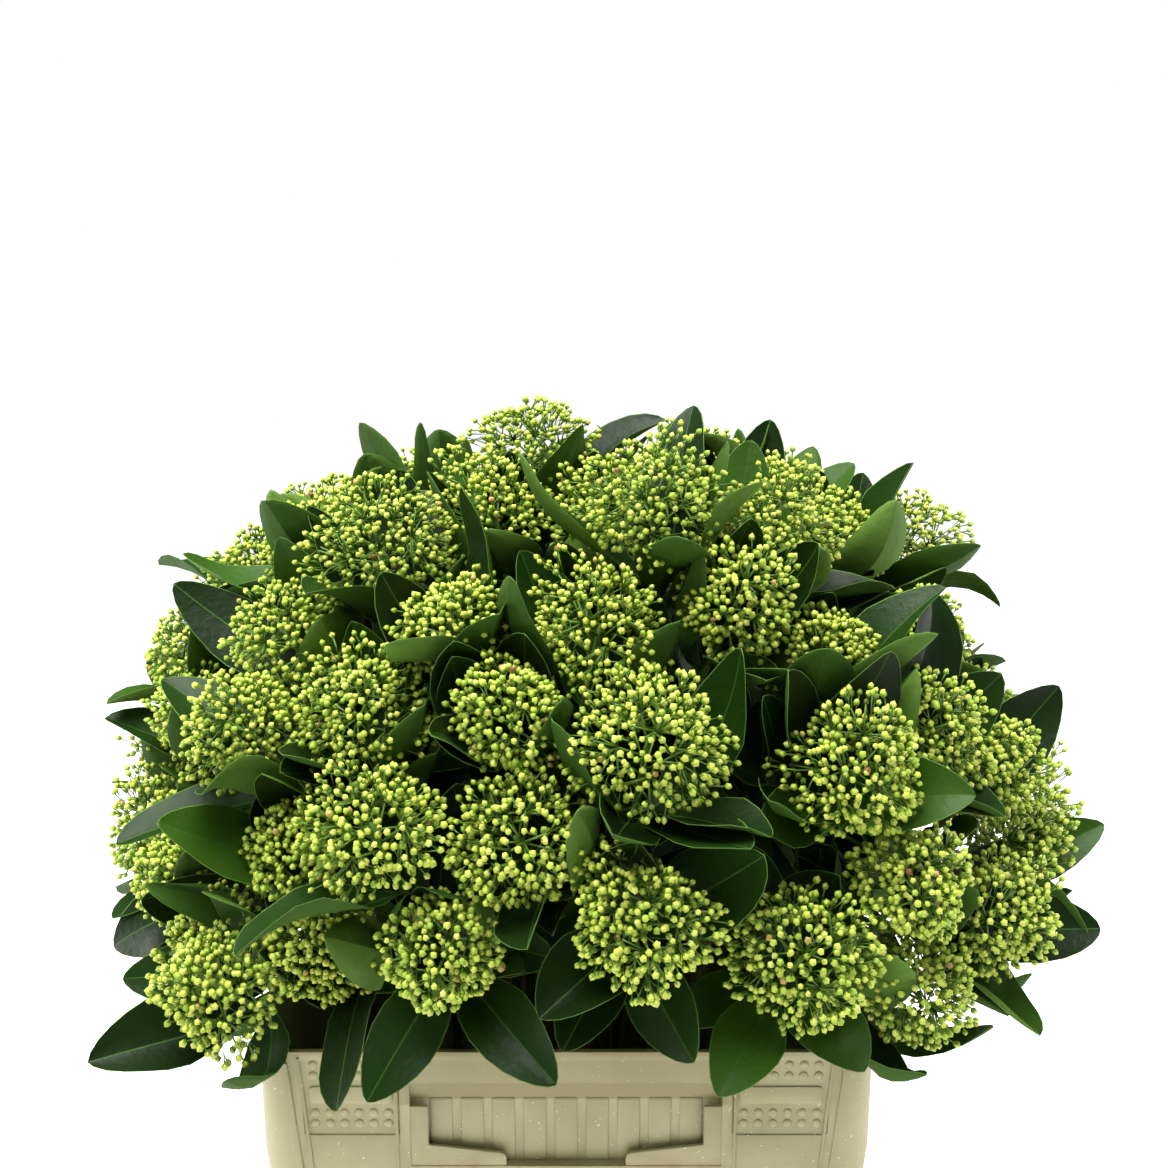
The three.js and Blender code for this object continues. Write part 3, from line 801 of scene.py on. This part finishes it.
def stem_bark():
    """Young bark: green that browns in patches, with small pale pores."""
    finish = Finish("young_bark", STEM_GREEN, 0.62)
    patches = finish.step(finish.noise(45.0, 3.0), 0.4, 0.65)
    bark = finish.mixed(patches, linear(STEM_GREEN), linear(STEM_BROWN))
    pores = finish.step(finish.noise(700.0, 1.0), 0.68, 0.74)
    finish.put(**{"Base Color": finish.mixed(pores * 0.5, bark, linear(CUT_WOOD))})
    finish.relief(finish.noise(500.0, 3.0), 0.0003)
    return finish.material


stem_growth = Growth()
for i, spray in enumerate(sprays):
    grow_stem(stem_growth, i, spray["fork"])
stem_growth.build("cut_stems", [stem_bark(), Finish("cut_wood", CUT_WOOD, 0.8).material],
                  "stem_bark", *[f"stem_{i + 1:02d}" for i in range(SPRAYS)])

# ---- Twigs --------------------------------------------------------------------------
# Each stem forks into green twigs, one to a bloom. Those that would pass through the
# bucket's wall bend over its rim. They are smooth, and thin out towards the bloom.

TWIG_OVER_RIM = 20
TWIG_BEND = 1.15
TWIG_RADII = (2.6, 1.9)
RACHIS_THINNED = (0.75, 0.4)
TWIG_SIDES = 7
TWIG_RINGS = 12
STUB_POINTS = 101
BLOOM_RADIUS = 34
BLOOM_LENGTH = 66
RACHIS_SHARE = 0.2
SPRAYS_PER_PIECE = 7

TWIG_GREEN = (104, 138, 54)


def twig_curve(bloom):
    """The start, bend and end of the twig from the fork to the foot of a bloom."""
    centre, axis, size = bloom["centre"], bloom["axis"], bloom["size"]
    end = centre - axis * BLOOM_LENGTH * size / 2
    bend = centre - axis * BLOOM_LENGTH * TWIG_BEND
    bend[2] = max(bend[2], RIM_LEVEL + TWIG_OVER_RIM)
    return bloom["fork"], bend, end


def below_end(bloom, distance):
    """A point on a bloom's twig, measured back from its upper end."""
    points, runs = measured_arc(*twig_curve(bloom))
    return along(points, runs, max(runs[-1] - distance, 0))


def grow_twig(growth, bloom):
    line = even_line(*twig_curve(bloom), TWIG_RINGS)
    tip = bloom["centre"] + bloom["axis"] * RACHIS_SHARE * BLOOM_RADIUS
    line = np.concatenate([line, [bloom["centre"], tip]])
    if bloom["keys"][1] == 0:
        stub = stem_line(bloom["fork"], STUB_POINTS)
        runs = np.linalg.norm(stub - bloom["fork"], axis=1)
        start = stub[np.argmin(np.abs(runs - STUB_LENGTH + GAP))]
        line = np.concatenate([[start], line])
    radii = np.linspace(*TWIG_RADII, len(line))
    radii[-2:] *= RACHIS_THINNED
    points, faces, ends = tube(line, radii, TWIG_SIDES)
    growth.add(points, faces + ends, 0)


twig_finish = Finish("twig_green", TWIG_GREEN, 0.5)
twig_finish.relief(twig_finish.noise(600.0, 2.0), 0.0002)
spray_nodes = [f"spray_{i + 1:02d}" for i in range(SPRAYS)]
twig_growth = Growth()
for bloom in blooms:
    grow_twig(twig_growth, bloom)
twig_growth.build("twigs", [twig_finish.material], "stem_bark", *spray_nodes)

groups = []
for first in range(0, SPRAYS, SPRAYS_PER_PIECE):
    members = range(first, first + SPRAYS_PER_PIECE)
    groups.append(([bloom for bloom in blooms if bloom["keys"][0] in members],
                   [spray_nodes[i] for i in members]))

# ---- Leaves -------------------------------------------------------------------------
# Leathery blades stand in a collar round each bloom: dark and glossy above, paler
# below, with a pale midrib and a thin pale margin. The margin's pale colour, carried
# round the thin edge too, is partly the leaf's own margin and partly a painted highlight
# where light catches the edge. Each springs from the twig below its bloom and leans out
# as far as the blooms beside it leave room. Those that hang over the bucket's short
# sides stay shorter and slimmer.

LEAF_ROUNDS = ((4, 0.45, 1.0, 12, 40), (3, 0.62, 0.85, 26, 140))
TURNS_TRIED = 16
LEAF_LENGTH = 93
LEAF_WIDTH = 40
LENGTH_SPREAD = 0.17
WIDTH_SPREAD = 0.12
LEAF_THICKNESS = 2.4
LEAF_SUNK = 1.8
FIRST_DEPTH = 0.5
DEPTH_STEP = 0.4
LEAF_FOLD = 0.13
LEAF_WIDEST = 0.55
LEAF_SAMPLES = 5
LEAN_STEP = 3
LEAST_LEAN = 25
LEAST_WISH = 38
WISH_SPAN = 18
TIP_WISH = 1.15
LEAST_TIP_LEAN = -10
DROOP = 44
SHORTER_AT_RIM = 0.42
SLIMMER_AT_RIM = 0.24
LEAF_NEAREST = 0.75
LOWEST_TIP = 298
RIM_CLEARANCE = 2.5
CELL_GAP = 0.4
INNER_LEAVES = 8
INNER_KEY = 340
INNER_SPREAD = 0.2
INNER_BEND = 15
INNER_TURN = 6.3
INNER_FIRST = 38
INNER_PITCH = 12
INNER_SCALE = 0.82
INNER_LEANS = (45, 80)
INNER_SHARE = 0.88
BLADE_THICK = 0.5
STALK_THICK = 1.6
LEAF_STALK_HALF = 1.1
LEAF_POINT_HALF = 0.3
MARGIN_WIDTH = 0.38
MIDRIB_HALF = 0.7
MIDRIB_RISE = 0.7
BLADE_ROWS = 13
SHADED_ROWS = 7
SWAY = 0.06
ARCHING = 0.045
TWIST = 0.6
WAVE = 3.2

# The pale margin finish is partly the leaf's own pale margin and partly a painted highlight
# where light catches the leaf's edge.
LEAF_FINISHES = (("leaf_dark", (18, 38, 7), 0.42, 0.03),
                 ("leaf_middle", (26, 52, 10), 0.42, 0.03),
                 ("leaf_fresh", (48, 80, 18), 0.44, 0.03),
                 ("under_dark", (58, 88, 28), 0.6, 0.0),
                 ("under_pale", (92, 124, 50), 0.6, 0.0),
                 ("midrib_pale", (54, 88, 30), 0.5, 0.0),
                 ("margin_pale_and_edge_highlight", (92, 126, 54), 0.5, 0.0))
DARK, MIDDLE, FRESH, UNDER_DARK, UNDER_PALE, MIDRIB, MARGIN_AND_EDGE_HIGHLIGHT = range(7)
DARK_BELOW = 0.5
MIDDLE_BELOW = 0.85
UNDER_DARK_SHARE = 0.6


def cell_of(bloom):
    """For each other bloom, the point where their spaces meet and the direction to it."""
    others = [other for other in blooms if other is not bloom]
    between = np.array([other["centre"] for other in others]) - bloom["centre"]
    sizes = np.array([other["size"] for other in others])
    meeting = bloom["centre"] + between * (bloom["size"] / (bloom["size"] + sizes))[:, None]
    return meeting, units(between)


def in_own_cell(bloom, points, slack=-CELL_GAP / 2):
    """For each point, whether it lies in its own bloom's space."""
    meeting, between = bloom["cell"]
    points = np.atleast_2d(points)
    past = ((points[:, None] - meeting) * between).sum(axis=2)
    return (past < slack).all(axis=1)


def clear_of_bucket(points):
    """For each point, whether it keeps clear of the bucket's walls and rim."""
    points = np.atleast_2d(points)
    share_x = np.minimum(points[:, 2] / (1000 * BAND_FOOT), 1)
    share_y = points[:, 2] / RIM_LEVEL
    half_x = 1000 * (FOOT_HALF.x + (RIM_HALF.x - FOOT_HALF.x) * share_x) + RIM_CLEARANCE
    half_y = 1000 * (FOOT_HALF.y + (RIM_HALF.y - FOOT_HALF.y) * share_y) + RIM_CLEARANCE
    above = points[:, 2] > RIM_LEVEL + RIM_CLEARANCE
    return above | (np.abs(points[:, 0]) > half_x) | (np.abs(points[:, 1]) > half_y)


def lines_clear(starts, ends):
    """Whether the straight lines between pairs of points keep clear of the bucket."""
    shares = np.linspace(0, 1, LEAF_SAMPLES + 1)[:, None, None]
    samples = starts + (ends - starts) * shares
    return clear_of_bucket(samples.reshape(-1, 3)).all()


def room_for(bloom, outward):
    """How far out from a bloom its cell goes, one way."""
    reaches = np.arange(BLOOM_RADIUS / 2, 2 * BLOOM_RADIUS + 2, 2)
    inside = in_own_cell(bloom, bloom["centre"] + outward * reaches[:, None])
    inside[-1] = False
    return reaches[np.argmin(inside)]


def leaf_turns(bloom, first_key):
    """The ways that a bloom's leaves may face, the roomiest first."""
    offset = chance(*bloom["keys"], first_key)
    turns = [2 * math.pi * (i + offset) / TURNS_TRIED for i in range(TURNS_TRIED)]
    rooms = [room_for(bloom, around(bloom["axis"], turn)) for turn in turns]
    return [turns[i] for i in sorted(range(TURNS_TRIED), key=lambda i: -rooms[i])]


def heading(axis, outward, degrees):
    """A heading at an angle out from a bloom's axis."""
    angle = math.radians(degrees)
    return axis * math.cos(angle) + outward * math.sin(angle)


def place_leaf(bloom, turn, k, scale, depth, key):
    """Where leaf k goes: each half leans out as far as it may. None where it has no
    room."""
    centre, axis, keys = bloom["centre"], bloom["axis"], bloom["keys"]
    outward = around(axis, turn)
    side = np.cross(axis, outward)
    below = max(0, -outward[2])
    at_rim = below * abs(axis[1])
    length = LEAF_LENGTH * scale * (1 - SHORTER_AT_RIM * at_rim)
    length *= 1 + LENGTH_SPREAD * swing(*keys, key + 1, k)
    width = LEAF_WIDTH * scale * (1 - SLIMMER_AT_RIM * at_rim)
    width *= 1 + WIDTH_SPREAD * swing(*keys, key + 2, k)
    root = below_end(bloom, depth * (FIRST_DEPTH + DEPTH_STEP * k))
    wish = LEAST_WISH + WISH_SPAN * chance(*keys, key + 3, k) + DROOP * below
    for low in np.arange(wish, LEAST_LEAN, -LEAN_STEP):
        lean = heading(axis, outward, low)
        widest = root + lean * length * LEAF_WIDEST
        upper = heading(axis, outward, low - 90)
        rim = widest + upper * width * LEAF_FOLD
        edges = [rim + side * width / 2, rim - side * width / 2]
        if (widest - centre) @ outward < BLOOM_RADIUS * bloom["size"] * LEAF_NEAREST:
            return None
        faces = [widest + upper * LEAF_THICKNESS / 2, widest - upper * LEAF_THICKNESS / 2]
        start = root - lean * LEAF_SUNK
        fixed = np.array([start, *edges, *faces])
        if not in_own_cell(bloom, fixed).all():
            continue
        ends = np.array([*edges, faces[0]])
        if not lines_clear(start, ends):
            continue
        for high in np.arange(wish * TIP_WISH, LEAST_TIP_LEAN, -LEAN_STEP):
            tip = widest + heading(axis, outward, high) * length * (1 - LEAF_WIDEST)
            if tip[2] < LOWEST_TIP:
                continue
            if in_own_cell(bloom, tip)[0] and lines_clear(ends, tip):
                return {"root": root, "widest": widest, "tip": tip, "side": side,
                        "width": width, "length": length, "keys": (*keys, key + k)}
    return None


def bloom_leaves(bloom):
    """The collar of a bloom: its big leaves first, then smaller ones lower down. A round
    gives the most leaves, the cosine of their least turn apart, their scale, their depth
    down the twig and their key."""
    taken, leaves = [], []
    for most, apart, scale, depth, key in LEAF_ROUNDS:
        grown = 0
        for turn in leaf_turns(bloom, key):
            close = any(math.cos(turn - other) >= apart for other in taken)
            if grown == most or close:
                continue
            leaf = place_leaf(bloom, turn, grown, scale, depth, key)
            if leaf is None:
                continue
            taken.append(turn)
            leaves.append(leaf)
            grown += 1
        taken = taken if len(leaves) < most else []
    return leaves


def inside_dome(points, share):
    """For each point, whether it lies within a smaller dome of that share."""
    out = np.abs(points) - (0, 0, DOME_LEVEL)
    scaled = out / (DOME_HALF, DOME_HALF, DOME_RISE) / share
    return (scaled[:, :2] ** 2).sum(axis=1) + np.maximum(scaled[:, 2], 0) ** 2 < 1


def inner_leaves(bloom):
    """Leaves lower on the twig, in the shade of the bunch, where they fit inside it."""
    keys, axis = bloom["keys"], bloom["axis"]
    leaves = []
    for n in range(INNER_LEAVES):
        key = INNER_KEY + n
        root = below_end(bloom, INNER_FIRST + INNER_PITCH * n)
        outward = around(axis, GOLDEN_TURN * n + INNER_TURN * chance(*keys, key))
        lean_low, lean_high = INNER_LEANS
        lean = lean_low + (lean_high - lean_low) * chance(*keys, key, 1)
        length = LEAF_LENGTH * INNER_SCALE * (1 + INNER_SPREAD * swing(*keys, key, 2))
        widest = root + heading(axis, outward, lean) * length * LEAF_WIDEST
        tip = widest + (heading(axis, outward, lean + INNER_BEND)
                        * length * (1 - LEAF_WIDEST))
        ends = np.array([widest, tip])
        if inside_dome(ends, INNER_SHARE).all() and lines_clear(root[None], ends):
            leaves.append({"root": root, "widest": widest, "tip": tip,
                           "side": np.cross(axis, outward), "length": length,
                           "width": LEAF_WIDTH * INNER_SCALE, "keys": (*keys, key)})
    return leaves


def half_widths(stations, width):
    """Half the width of a blade along it: a slim stalk, a belly, and a short point."""
    t = np.array(stations)
    belly = np.sin(math.pi * t ** 1.15) ** (0.95 - 0.36 * t)
    least = np.where(t < 0.5, LEAF_STALK_HALF, LEAF_POINT_HALF)
    return np.maximum(width / 2 * belly, least)


def grow_leaf(growth, leaf, tint, rows):
    """One blade: an upper skin with midrib and margins, a lower skin with a keel, and
    the thin edge between them, as rings across it. Tint picks its greens."""
    root, widest, tip, side = leaf["root"], leaf["widest"], leaf["tip"], leaf["side"]
    keys, t = leaf["keys"], LEAF_WIDEST
    bend = (widest - root * (1 - t) ** 2 - tip * t ** 2) / (2 * t * (1 - t))
    stations = (1 - np.cos(np.linspace(0, math.pi, rows))) / 2
    spine = arc(root, bend, tip, stations)
    spine += side * (SWAY * leaf["length"] * swing(*keys, 1) * stations[:, None] ** 2)
    ahead = units(np.gradient(spine, axis=0))
    upper = units(np.cross(ahead, side))
    across = np.cross(upper, ahead)
    spine += upper * (ARCHING * leaf["length"] * swing(*keys, 6)
                      * np.sin(2 * math.pi * stations))[:, None]
    twist = (TWIST * swing(*keys, 2) * stations)[:, None]
    across, upper = (across * np.cos(twist) + upper * np.sin(twist),
                     upper * np.cos(twist) - across * np.sin(twist))
    half = half_widths(stations, leaf["width"])
    fold = 2 * LEAF_FOLD * (1.25 + swing(*keys, 3))
    wave = WAVE * (0.3 + chance(*keys, 4)) * np.sin(
        2 * math.pi * (1.4 * stations + chance(*keys, 5)))
    thick = BLADE_THICK + (STALK_THICK - BLADE_THICK) * np.clip(1 - stations / 0.2, 0, 1)
    fade = np.sin(math.pi * stations)[:, None]

    def skin(columns, drop):
        """Points over the blade: how far each is across, and under the upper face."""
        u = columns / half[:, None]
        rise = (fold * half[:, None] * np.abs(u) ** 1.35
                + wave[:, None] * u ** 2 * np.sign(u + 0.01) * fade)
        return (spine[:, None] + across[:, None] * columns[:, :, None]
                + upper[:, None] * (rise - drop)[:, :, None])

    margin = np.minimum(MARGIN_WIDTH, half * 0.35)
    rib = np.minimum(MIDRIB_HALF * (1 - 0.6 * stations), half * 0.3)
    top = skin(np.stack([-half, margin - half, -0.5 * half, -rib, rib, 0.5 * half,
                         half - margin, half], axis=1), np.zeros((len(stations), 8)))
    keel = np.stack([0.5 * thick, thick, thick, thick + MIDRIB_RISE * (1 - stations),
                     thick, thick, 0.5 * thick], axis=1)
    below = skin(np.stack([-half, -0.5 * half, -1.4 * rib, 0 * half, 1.4 * rib,
                           0.5 * half, half], axis=1), keel)
    rings = np.concatenate([top, below[:, ::-1]], axis=1)
    ring, upper_faces = rings.shape[1], top.shape[1]
    faces, ends = ring_faces(rows, ring)
    # Lower faces start one corner on, so both skins fold along the same diagonals.
    faces = [face if n % ring < upper_faces else face[1:] + face[:1]
             for n, face in enumerate(faces)]
    blade, under = tint
    # The margin strips and the thin edge take the pale margin finish, which is partly a
    # painted highlight along the leaf's edge.
    around_ring = [MARGIN_AND_EDGE_HIGHLIGHT, blade, blade, MIDRIB, blade, blade, MARGIN_AND_EDGE_HIGHLIGHT, MARGIN_AND_EDGE_HIGHLIGHT,
                   under, under, under, under, under, under, MARGIN_AND_EDGE_HIGHLIGHT]
    growth.add(rings.reshape(-1, 3), faces + ends,
               around_ring * (rows - 1) + [MARGIN_AND_EDGE_HIGHLIGHT, MARGIN_AND_EDGE_HIGHLIGHT])


def leaf_finish(name, colour, roughness, coat):
    """Waxy blade: gloss that varies a little, over a fine pebbled grain."""
    finish = Finish(name, colour, roughness, **{"Specular IOR Level": 0.15,
                                                "Coat Weight": coat,
                                                "Coat Roughness": 0.3})
    finish.put(Roughness=finish.noise(90.0, 3.0) * 0.22 + (roughness - 0.11))
    finish.relief(finish.noise(260.0, 3.0), 0.0004)
    return finish.material


leaf_materials = [leaf_finish(*row) for row in LEAF_FINISHES]
for bloom in blooms:
    bloom["cell"] = cell_of(bloom)
for number, (members, nodes) in enumerate(groups, 1):
    leaf_growth = Growth()
    for bloom in members:
        collar = bloom_leaves(bloom)
        for n, leaf in enumerate(collar + inner_leaves(bloom)):
            youth, shade = (chance(*bloom["keys"], key, n) for key in (300, 301))
            top = DARK if youth < DARK_BELOW else MIDDLE if youth < MIDDLE_BELOW else FRESH
            under = UNDER_DARK if shade < UNDER_DARK_SHARE else UNDER_PALE
            rows = BLADE_ROWS if n < len(collar) else SHADED_ROWS
            grow_leaf(leaf_growth, leaf, (top, under), rows)
    leaf_growth.build(f"leaves_{number}", leaf_materials, "leaf", *nodes)

# ---- Blooms -------------------------------------------------------------------------
# Each bloom is a lobed panicle: branchlets off the twig's end lead to its lobes, fork
# there to knots of fine stalks, and each stalk ends in one closed bud. Buds and stalks
# are small closed shapes of few faces, dealt out evenly over the lobes.

LOBES = 9
KNOTS = 92
BUDS = 430
BLOOM_LOWEST = math.radians(124)
LOBE_REACHES = (0.92, 1.3)
LOBE_DIP = 0.27
LOBE_BREADTH = 0.1
LOBE_SHARE = 0.42
KNOT_SHARE = 0.74
BUD_SINK = 0.42
BLOOM_TALL = (0.85, 1.25)
LOBE_STRAY = 0.2
KNOT_STRAY = 0.05
BUD_STRAY = 0.035
BUD_RADIUS = 1.72
BUD_SLACK = 1.5
BUD_RINGS = ((-0.5, 0.9, 0.0), (0.42, 0.94, 0.5))
BUD_POLES = (-1.15, 1.2)
BUD_SIDES = 4
BUD_SIZES = (0.84, 0.32)
LIMB_FOOT = 0.36
LIMB_SPACING = (1.1, 0.75)
LIMB_THICK = 0.75
BRANCHLET_THICK = 0.5
STALK_WIDE = 0.55

BUD_FINISHES = (("bud_yellow", (198, 214, 80)), ("bud_pale", (210, 221, 100)),
                ("bud_green", (168, 196, 62)), ("bud_base", (128, 158, 44)),
                ("bud_orange", (190, 160, 84)), ("bud_brown", (126, 78, 46)))
YELLOW, PALE, GREEN, BASE, ORANGE, BROWN = range(6)
BROWN_BELOW = 0.003
ORANGE_BELOW = 0.012
PALE_ABOVE = 0.8
STALK_GREEN = (90, 124, 30)


def bud_shape():
    """A bud round the z axis, of unit radius: two rings between two poles."""
    points = [(0, 0, BUD_POLES[0])]
    for height, radius, twist in BUD_RINGS:
        for s in range(BUD_SIDES):
            angle = 2 * math.pi * (s + twist) / BUD_SIDES
            points.append((radius * math.cos(angle), radius * math.sin(angle), height))
    points.append((0, 0, BUD_POLES[1]))
    faces = []
    top = len(points) - 1
    for s in range(BUD_SIDES):
        a, b = 1 + s, 1 + (s + 1) % BUD_SIDES
        c, d = a + BUD_SIDES, b + BUD_SIDES
        faces += [(0, b, a), (a, b, c), (b, d, c), (c, d, top)]
    return np.array(points), faces


BUD_POINTS, BUD_FACES = bud_shape()


def turned_to(direction):
    """Three directions, the last one the given direction, as rows."""
    across, forward = square_to(direction)
    return np.array([across, forward, direction])


def grow_bud(growth, place, direction, radius, tip):
    points = place + (BUD_POINTS * radius) @ turned_to(direction)
    growth.add(points, BUD_FACES, [BASE, BASE, tip, tip] * BUD_SIDES)


def grow_stalk(growth, start, end, radius):
    """A fine three-sided stalk that widens from its hidden root up to its end."""
    way = unit(end - start)
    across, forward = square_to(way)
    angles = 2 * math.pi * np.arange(3)[:, None] / 3
    ring = end + radius * (np.cos(angles) * across + np.sin(angles) * forward)
    points = np.concatenate([[start - way * radius * 2], ring])
    growth.add(points, [(0, 2, 1), (0, 3, 2), (0, 1, 3), (1, 2, 3)], 0)


def grow_branchlet(growth, start, end, radius):
    points, faces, ends = tube(np.array([start, end]), [radius * 1.2, radius], 3)
    growth.add(points, faces + ends, 0)


def cell_reach(bloom, ways):
    """How far a bloom's cell goes from its middle, each way."""
    meeting, between = bloom["cell"]
    distance = ((meeting - bloom["centre"]) * between).sum(axis=1)
    return (distance / np.maximum(ways @ between.T, 0.01)).min(axis=1)


def dealt_out(count, turn, stray, rng):
    """Directions dealt out evenly over a bloom, from its top down, each astray a little."""
    height = 1 - (np.arange(count) + 0.5) / count * (1 - math.cos(BLOOM_LOWEST))
    turns = turn + GOLDEN_TURN * np.arange(count)
    out = np.sqrt(1 - height ** 2)
    ways = np.stack([out * np.cos(turns), out * np.sin(turns), height], axis=1)
    return units(ways + rng.normal(0, stray, ways.shape))


def grow_bloom(buds, stalks, bloom):
    centre, axis, size, keys = (bloom[name] for name in ("centre", "axis", "size", "keys"))
    rng = np.random.default_rng([SEED, *keys])
    turn = 2 * math.pi * chance(*keys, 72)
    greenness = chance(*keys, 71)
    lobes = dealt_out(LOBES, turn, LOBE_STRAY, rng)
    lobe_reach = BLOOM_RADIUS * size * rng.uniform(*LOBE_REACHES, LOBES)
    shortest, tallest = BLOOM_TALL
    build = np.array((1, 1, shortest + (tallest - shortest) * chance(*keys, 73)))

    def reached(ways, share):
        """Points that far out, on the lobes or in the dips between them."""
        nearness = ways @ lobes.T
        lobe = nearness.argmax(axis=1)
        dip = 1 - np.exp(-(1 - nearness.max(axis=1)) / LOBE_BREADTH)
        out = (ways * build) @ turned_to(axis)
        length = np.linalg.norm(out, axis=1)
        out /= length[:, None]
        reach = lobe_reach[lobe] * (1 - LOBE_DIP * dip) * length
        reach = np.minimum(reach, cell_reach(bloom, out) - BUD_SLACK)
        return centre + out * (reach * share)[:, None], out

    knot_ways = dealt_out(KNOTS, turn, KNOT_STRAY, rng)
    bud_ways = dealt_out(BUDS, turn, BUD_STRAY, rng)
    lobe_places = reached(lobes, np.full(LOBES, LOBE_SHARE))[0]
    knot_places = reached(knot_ways, np.full(KNOTS, KNOT_SHARE))[0]
    places, outward = reached(bud_ways, 1 - BUD_SINK * rng.random(BUDS) ** 2)
    foot = centre - axis * BLOOM_LENGTH * size * LIMB_FOOT
    highest, span = LIMB_SPACING
    for j, place in enumerate(lobe_places):
        height = highest - span * (j + 0.5) / LOBES
        grow_branchlet(stalks, foot + (centre - foot) * height, place, LIMB_THICK)
    for place, lobe in zip(knot_places, (knot_ways @ lobes.T).argmax(axis=1)):
        grow_branchlet(stalks, lobe_places[lobe], place, BRANCHLET_THICK)
    clear = clear_of_bucket(places)
    knots = (bud_ways @ knot_ways.T).argmax(axis=1)
    least, spread = BUD_SIZES
    for i in range(BUDS):
        if not clear[i]:
            continue
        knot = knot_places[knots[i]]
        way = unit(unit(places[i] - knot) + outward[i])
        grow_stalk(stalks, knot, places[i], STALK_WIDE)
        ripeness = rng.random()
        tip = (BROWN if ripeness < BROWN_BELOW else ORANGE if ripeness < ORANGE_BELOW else
               GREEN if ripeness < 0.1 + 0.4 * greenness else
               PALE if ripeness > PALE_ABOVE else YELLOW)
        grow_bud(buds, places[i], way, BUD_RADIUS * (least + spread * rng.random()), tip)


def bud_finish(name, colour):
    """Waxy bud skin, with a soft sheen that varies a little."""
    finish = Finish(name, colour, 0.46)
    finish.put(Roughness=finish.noise(400.0, 2.0) * 0.2 + 0.36)
    return finish.material


bud_materials = [bud_finish(*row) for row in BUD_FINISHES]
stalk_material = bud_finish("stalk_green", STALK_GREEN)
for number, (members, nodes) in enumerate(groups, 1):
    bud_growth, stalk_growth = Growth(), Growth()
    for bloom in members:
        grow_bloom(bud_growth, stalk_growth, bloom)
    bud_growth.build(f"buds_{number}", bud_materials, "bud", *nodes)
    stalk_growth.build(f"bud_stalks_{number}", [stalk_material], "bud", *nodes)

# ---- Room ---------------------------------------------------------------------------
# A white floor under soft lights, each with its place, size and power, and the camera.

FLOOR_HALF = 6.0
FLOOR_GLOW = 0.9
CAMERA_PLACE = (0.009, -0.906, 0.657)
CAMERA_DOWN = math.radians(10.6)
CAMERA_LENS = 47.6
CAMERA_SENSOR = 36.0
SKY = 0.21
SKY_SEEN = 1.0
LIGHTS = (("overhead", (-0.3, -0.3, 2.2), 1.6, 94.0),
          ("front", (-1.0, -1.8, 1.3), 1.2, 5.0),
          ("left", (-1.6, 0.1, 0.45), 0.8, 13.0),
          ("right", (1.6, 0.1, 0.45), 0.8, 13.0))
LIT_PLACE = Vector((0, 0, 0.4))

bpy.ops.object.select_all(action="DESELECT")
bpy.ops.mesh.primitive_plane_add(size=2 * FLOOR_HALF, location=(0, 0, -0.0005))
floor = bpy.context.active_object
floor.name = "floor"
floor_finish = Finish("white_floor", (250, 250, 250), 0.9)
seen_floor = floor_finish.node("LightPath", {}, {}, "Is Camera Ray")
floor_finish.put(**{"Emission Color": seen_floor, "Emission Strength": FLOOR_GLOW})
floor.data.materials.append(floor_finish.material)

world = bpy.data.worlds.new("white_room")
world.use_nodes = True
room_tree = world.node_tree
backdrop = room_tree.nodes["Background"]
rays = room_tree.nodes.new("ShaderNodeLightPath")
seen = room_tree.nodes.new("ShaderNodeMapRange")
seen.inputs["To Min"].default_value = SKY
seen.inputs["To Max"].default_value = SKY_SEEN
room_tree.links.new(rays.outputs["Is Camera Ray"], seen.inputs["Value"])
room_tree.links.new(seen.outputs["Result"], backdrop.inputs["Strength"])
backdrop.inputs["Color"].default_value = (1, 1, 1, 1)
bpy.context.scene.world = world


def add_soft_light(name, place, size, power):
    """A square soft light that faces the middle of the bunch."""
    bpy.ops.object.light_add(type="AREA", location=place)
    light = bpy.context.active_object
    light.name = name
    light.data.size = size
    light.data.energy = power
    aim = LIT_PLACE - Vector(place)
    light.rotation_euler = aim.to_track_quat("-Z", "Y").to_euler()


for light_row in LIGHTS:
    add_soft_light(*light_row)

bpy.ops.object.camera_add(location=CAMERA_PLACE,
                          rotation=(math.pi / 2 - CAMERA_DOWN, 0, 0))
camera = bpy.context.active_object
camera.name = "camera"
camera.data.lens = CAMERA_LENS
camera.data.sensor_width = CAMERA_SENSOR
camera.data.clip_start = 0.01
bpy.context.scene.camera = camera
bpy.context.scene.view_settings.view_transform = "Standard"
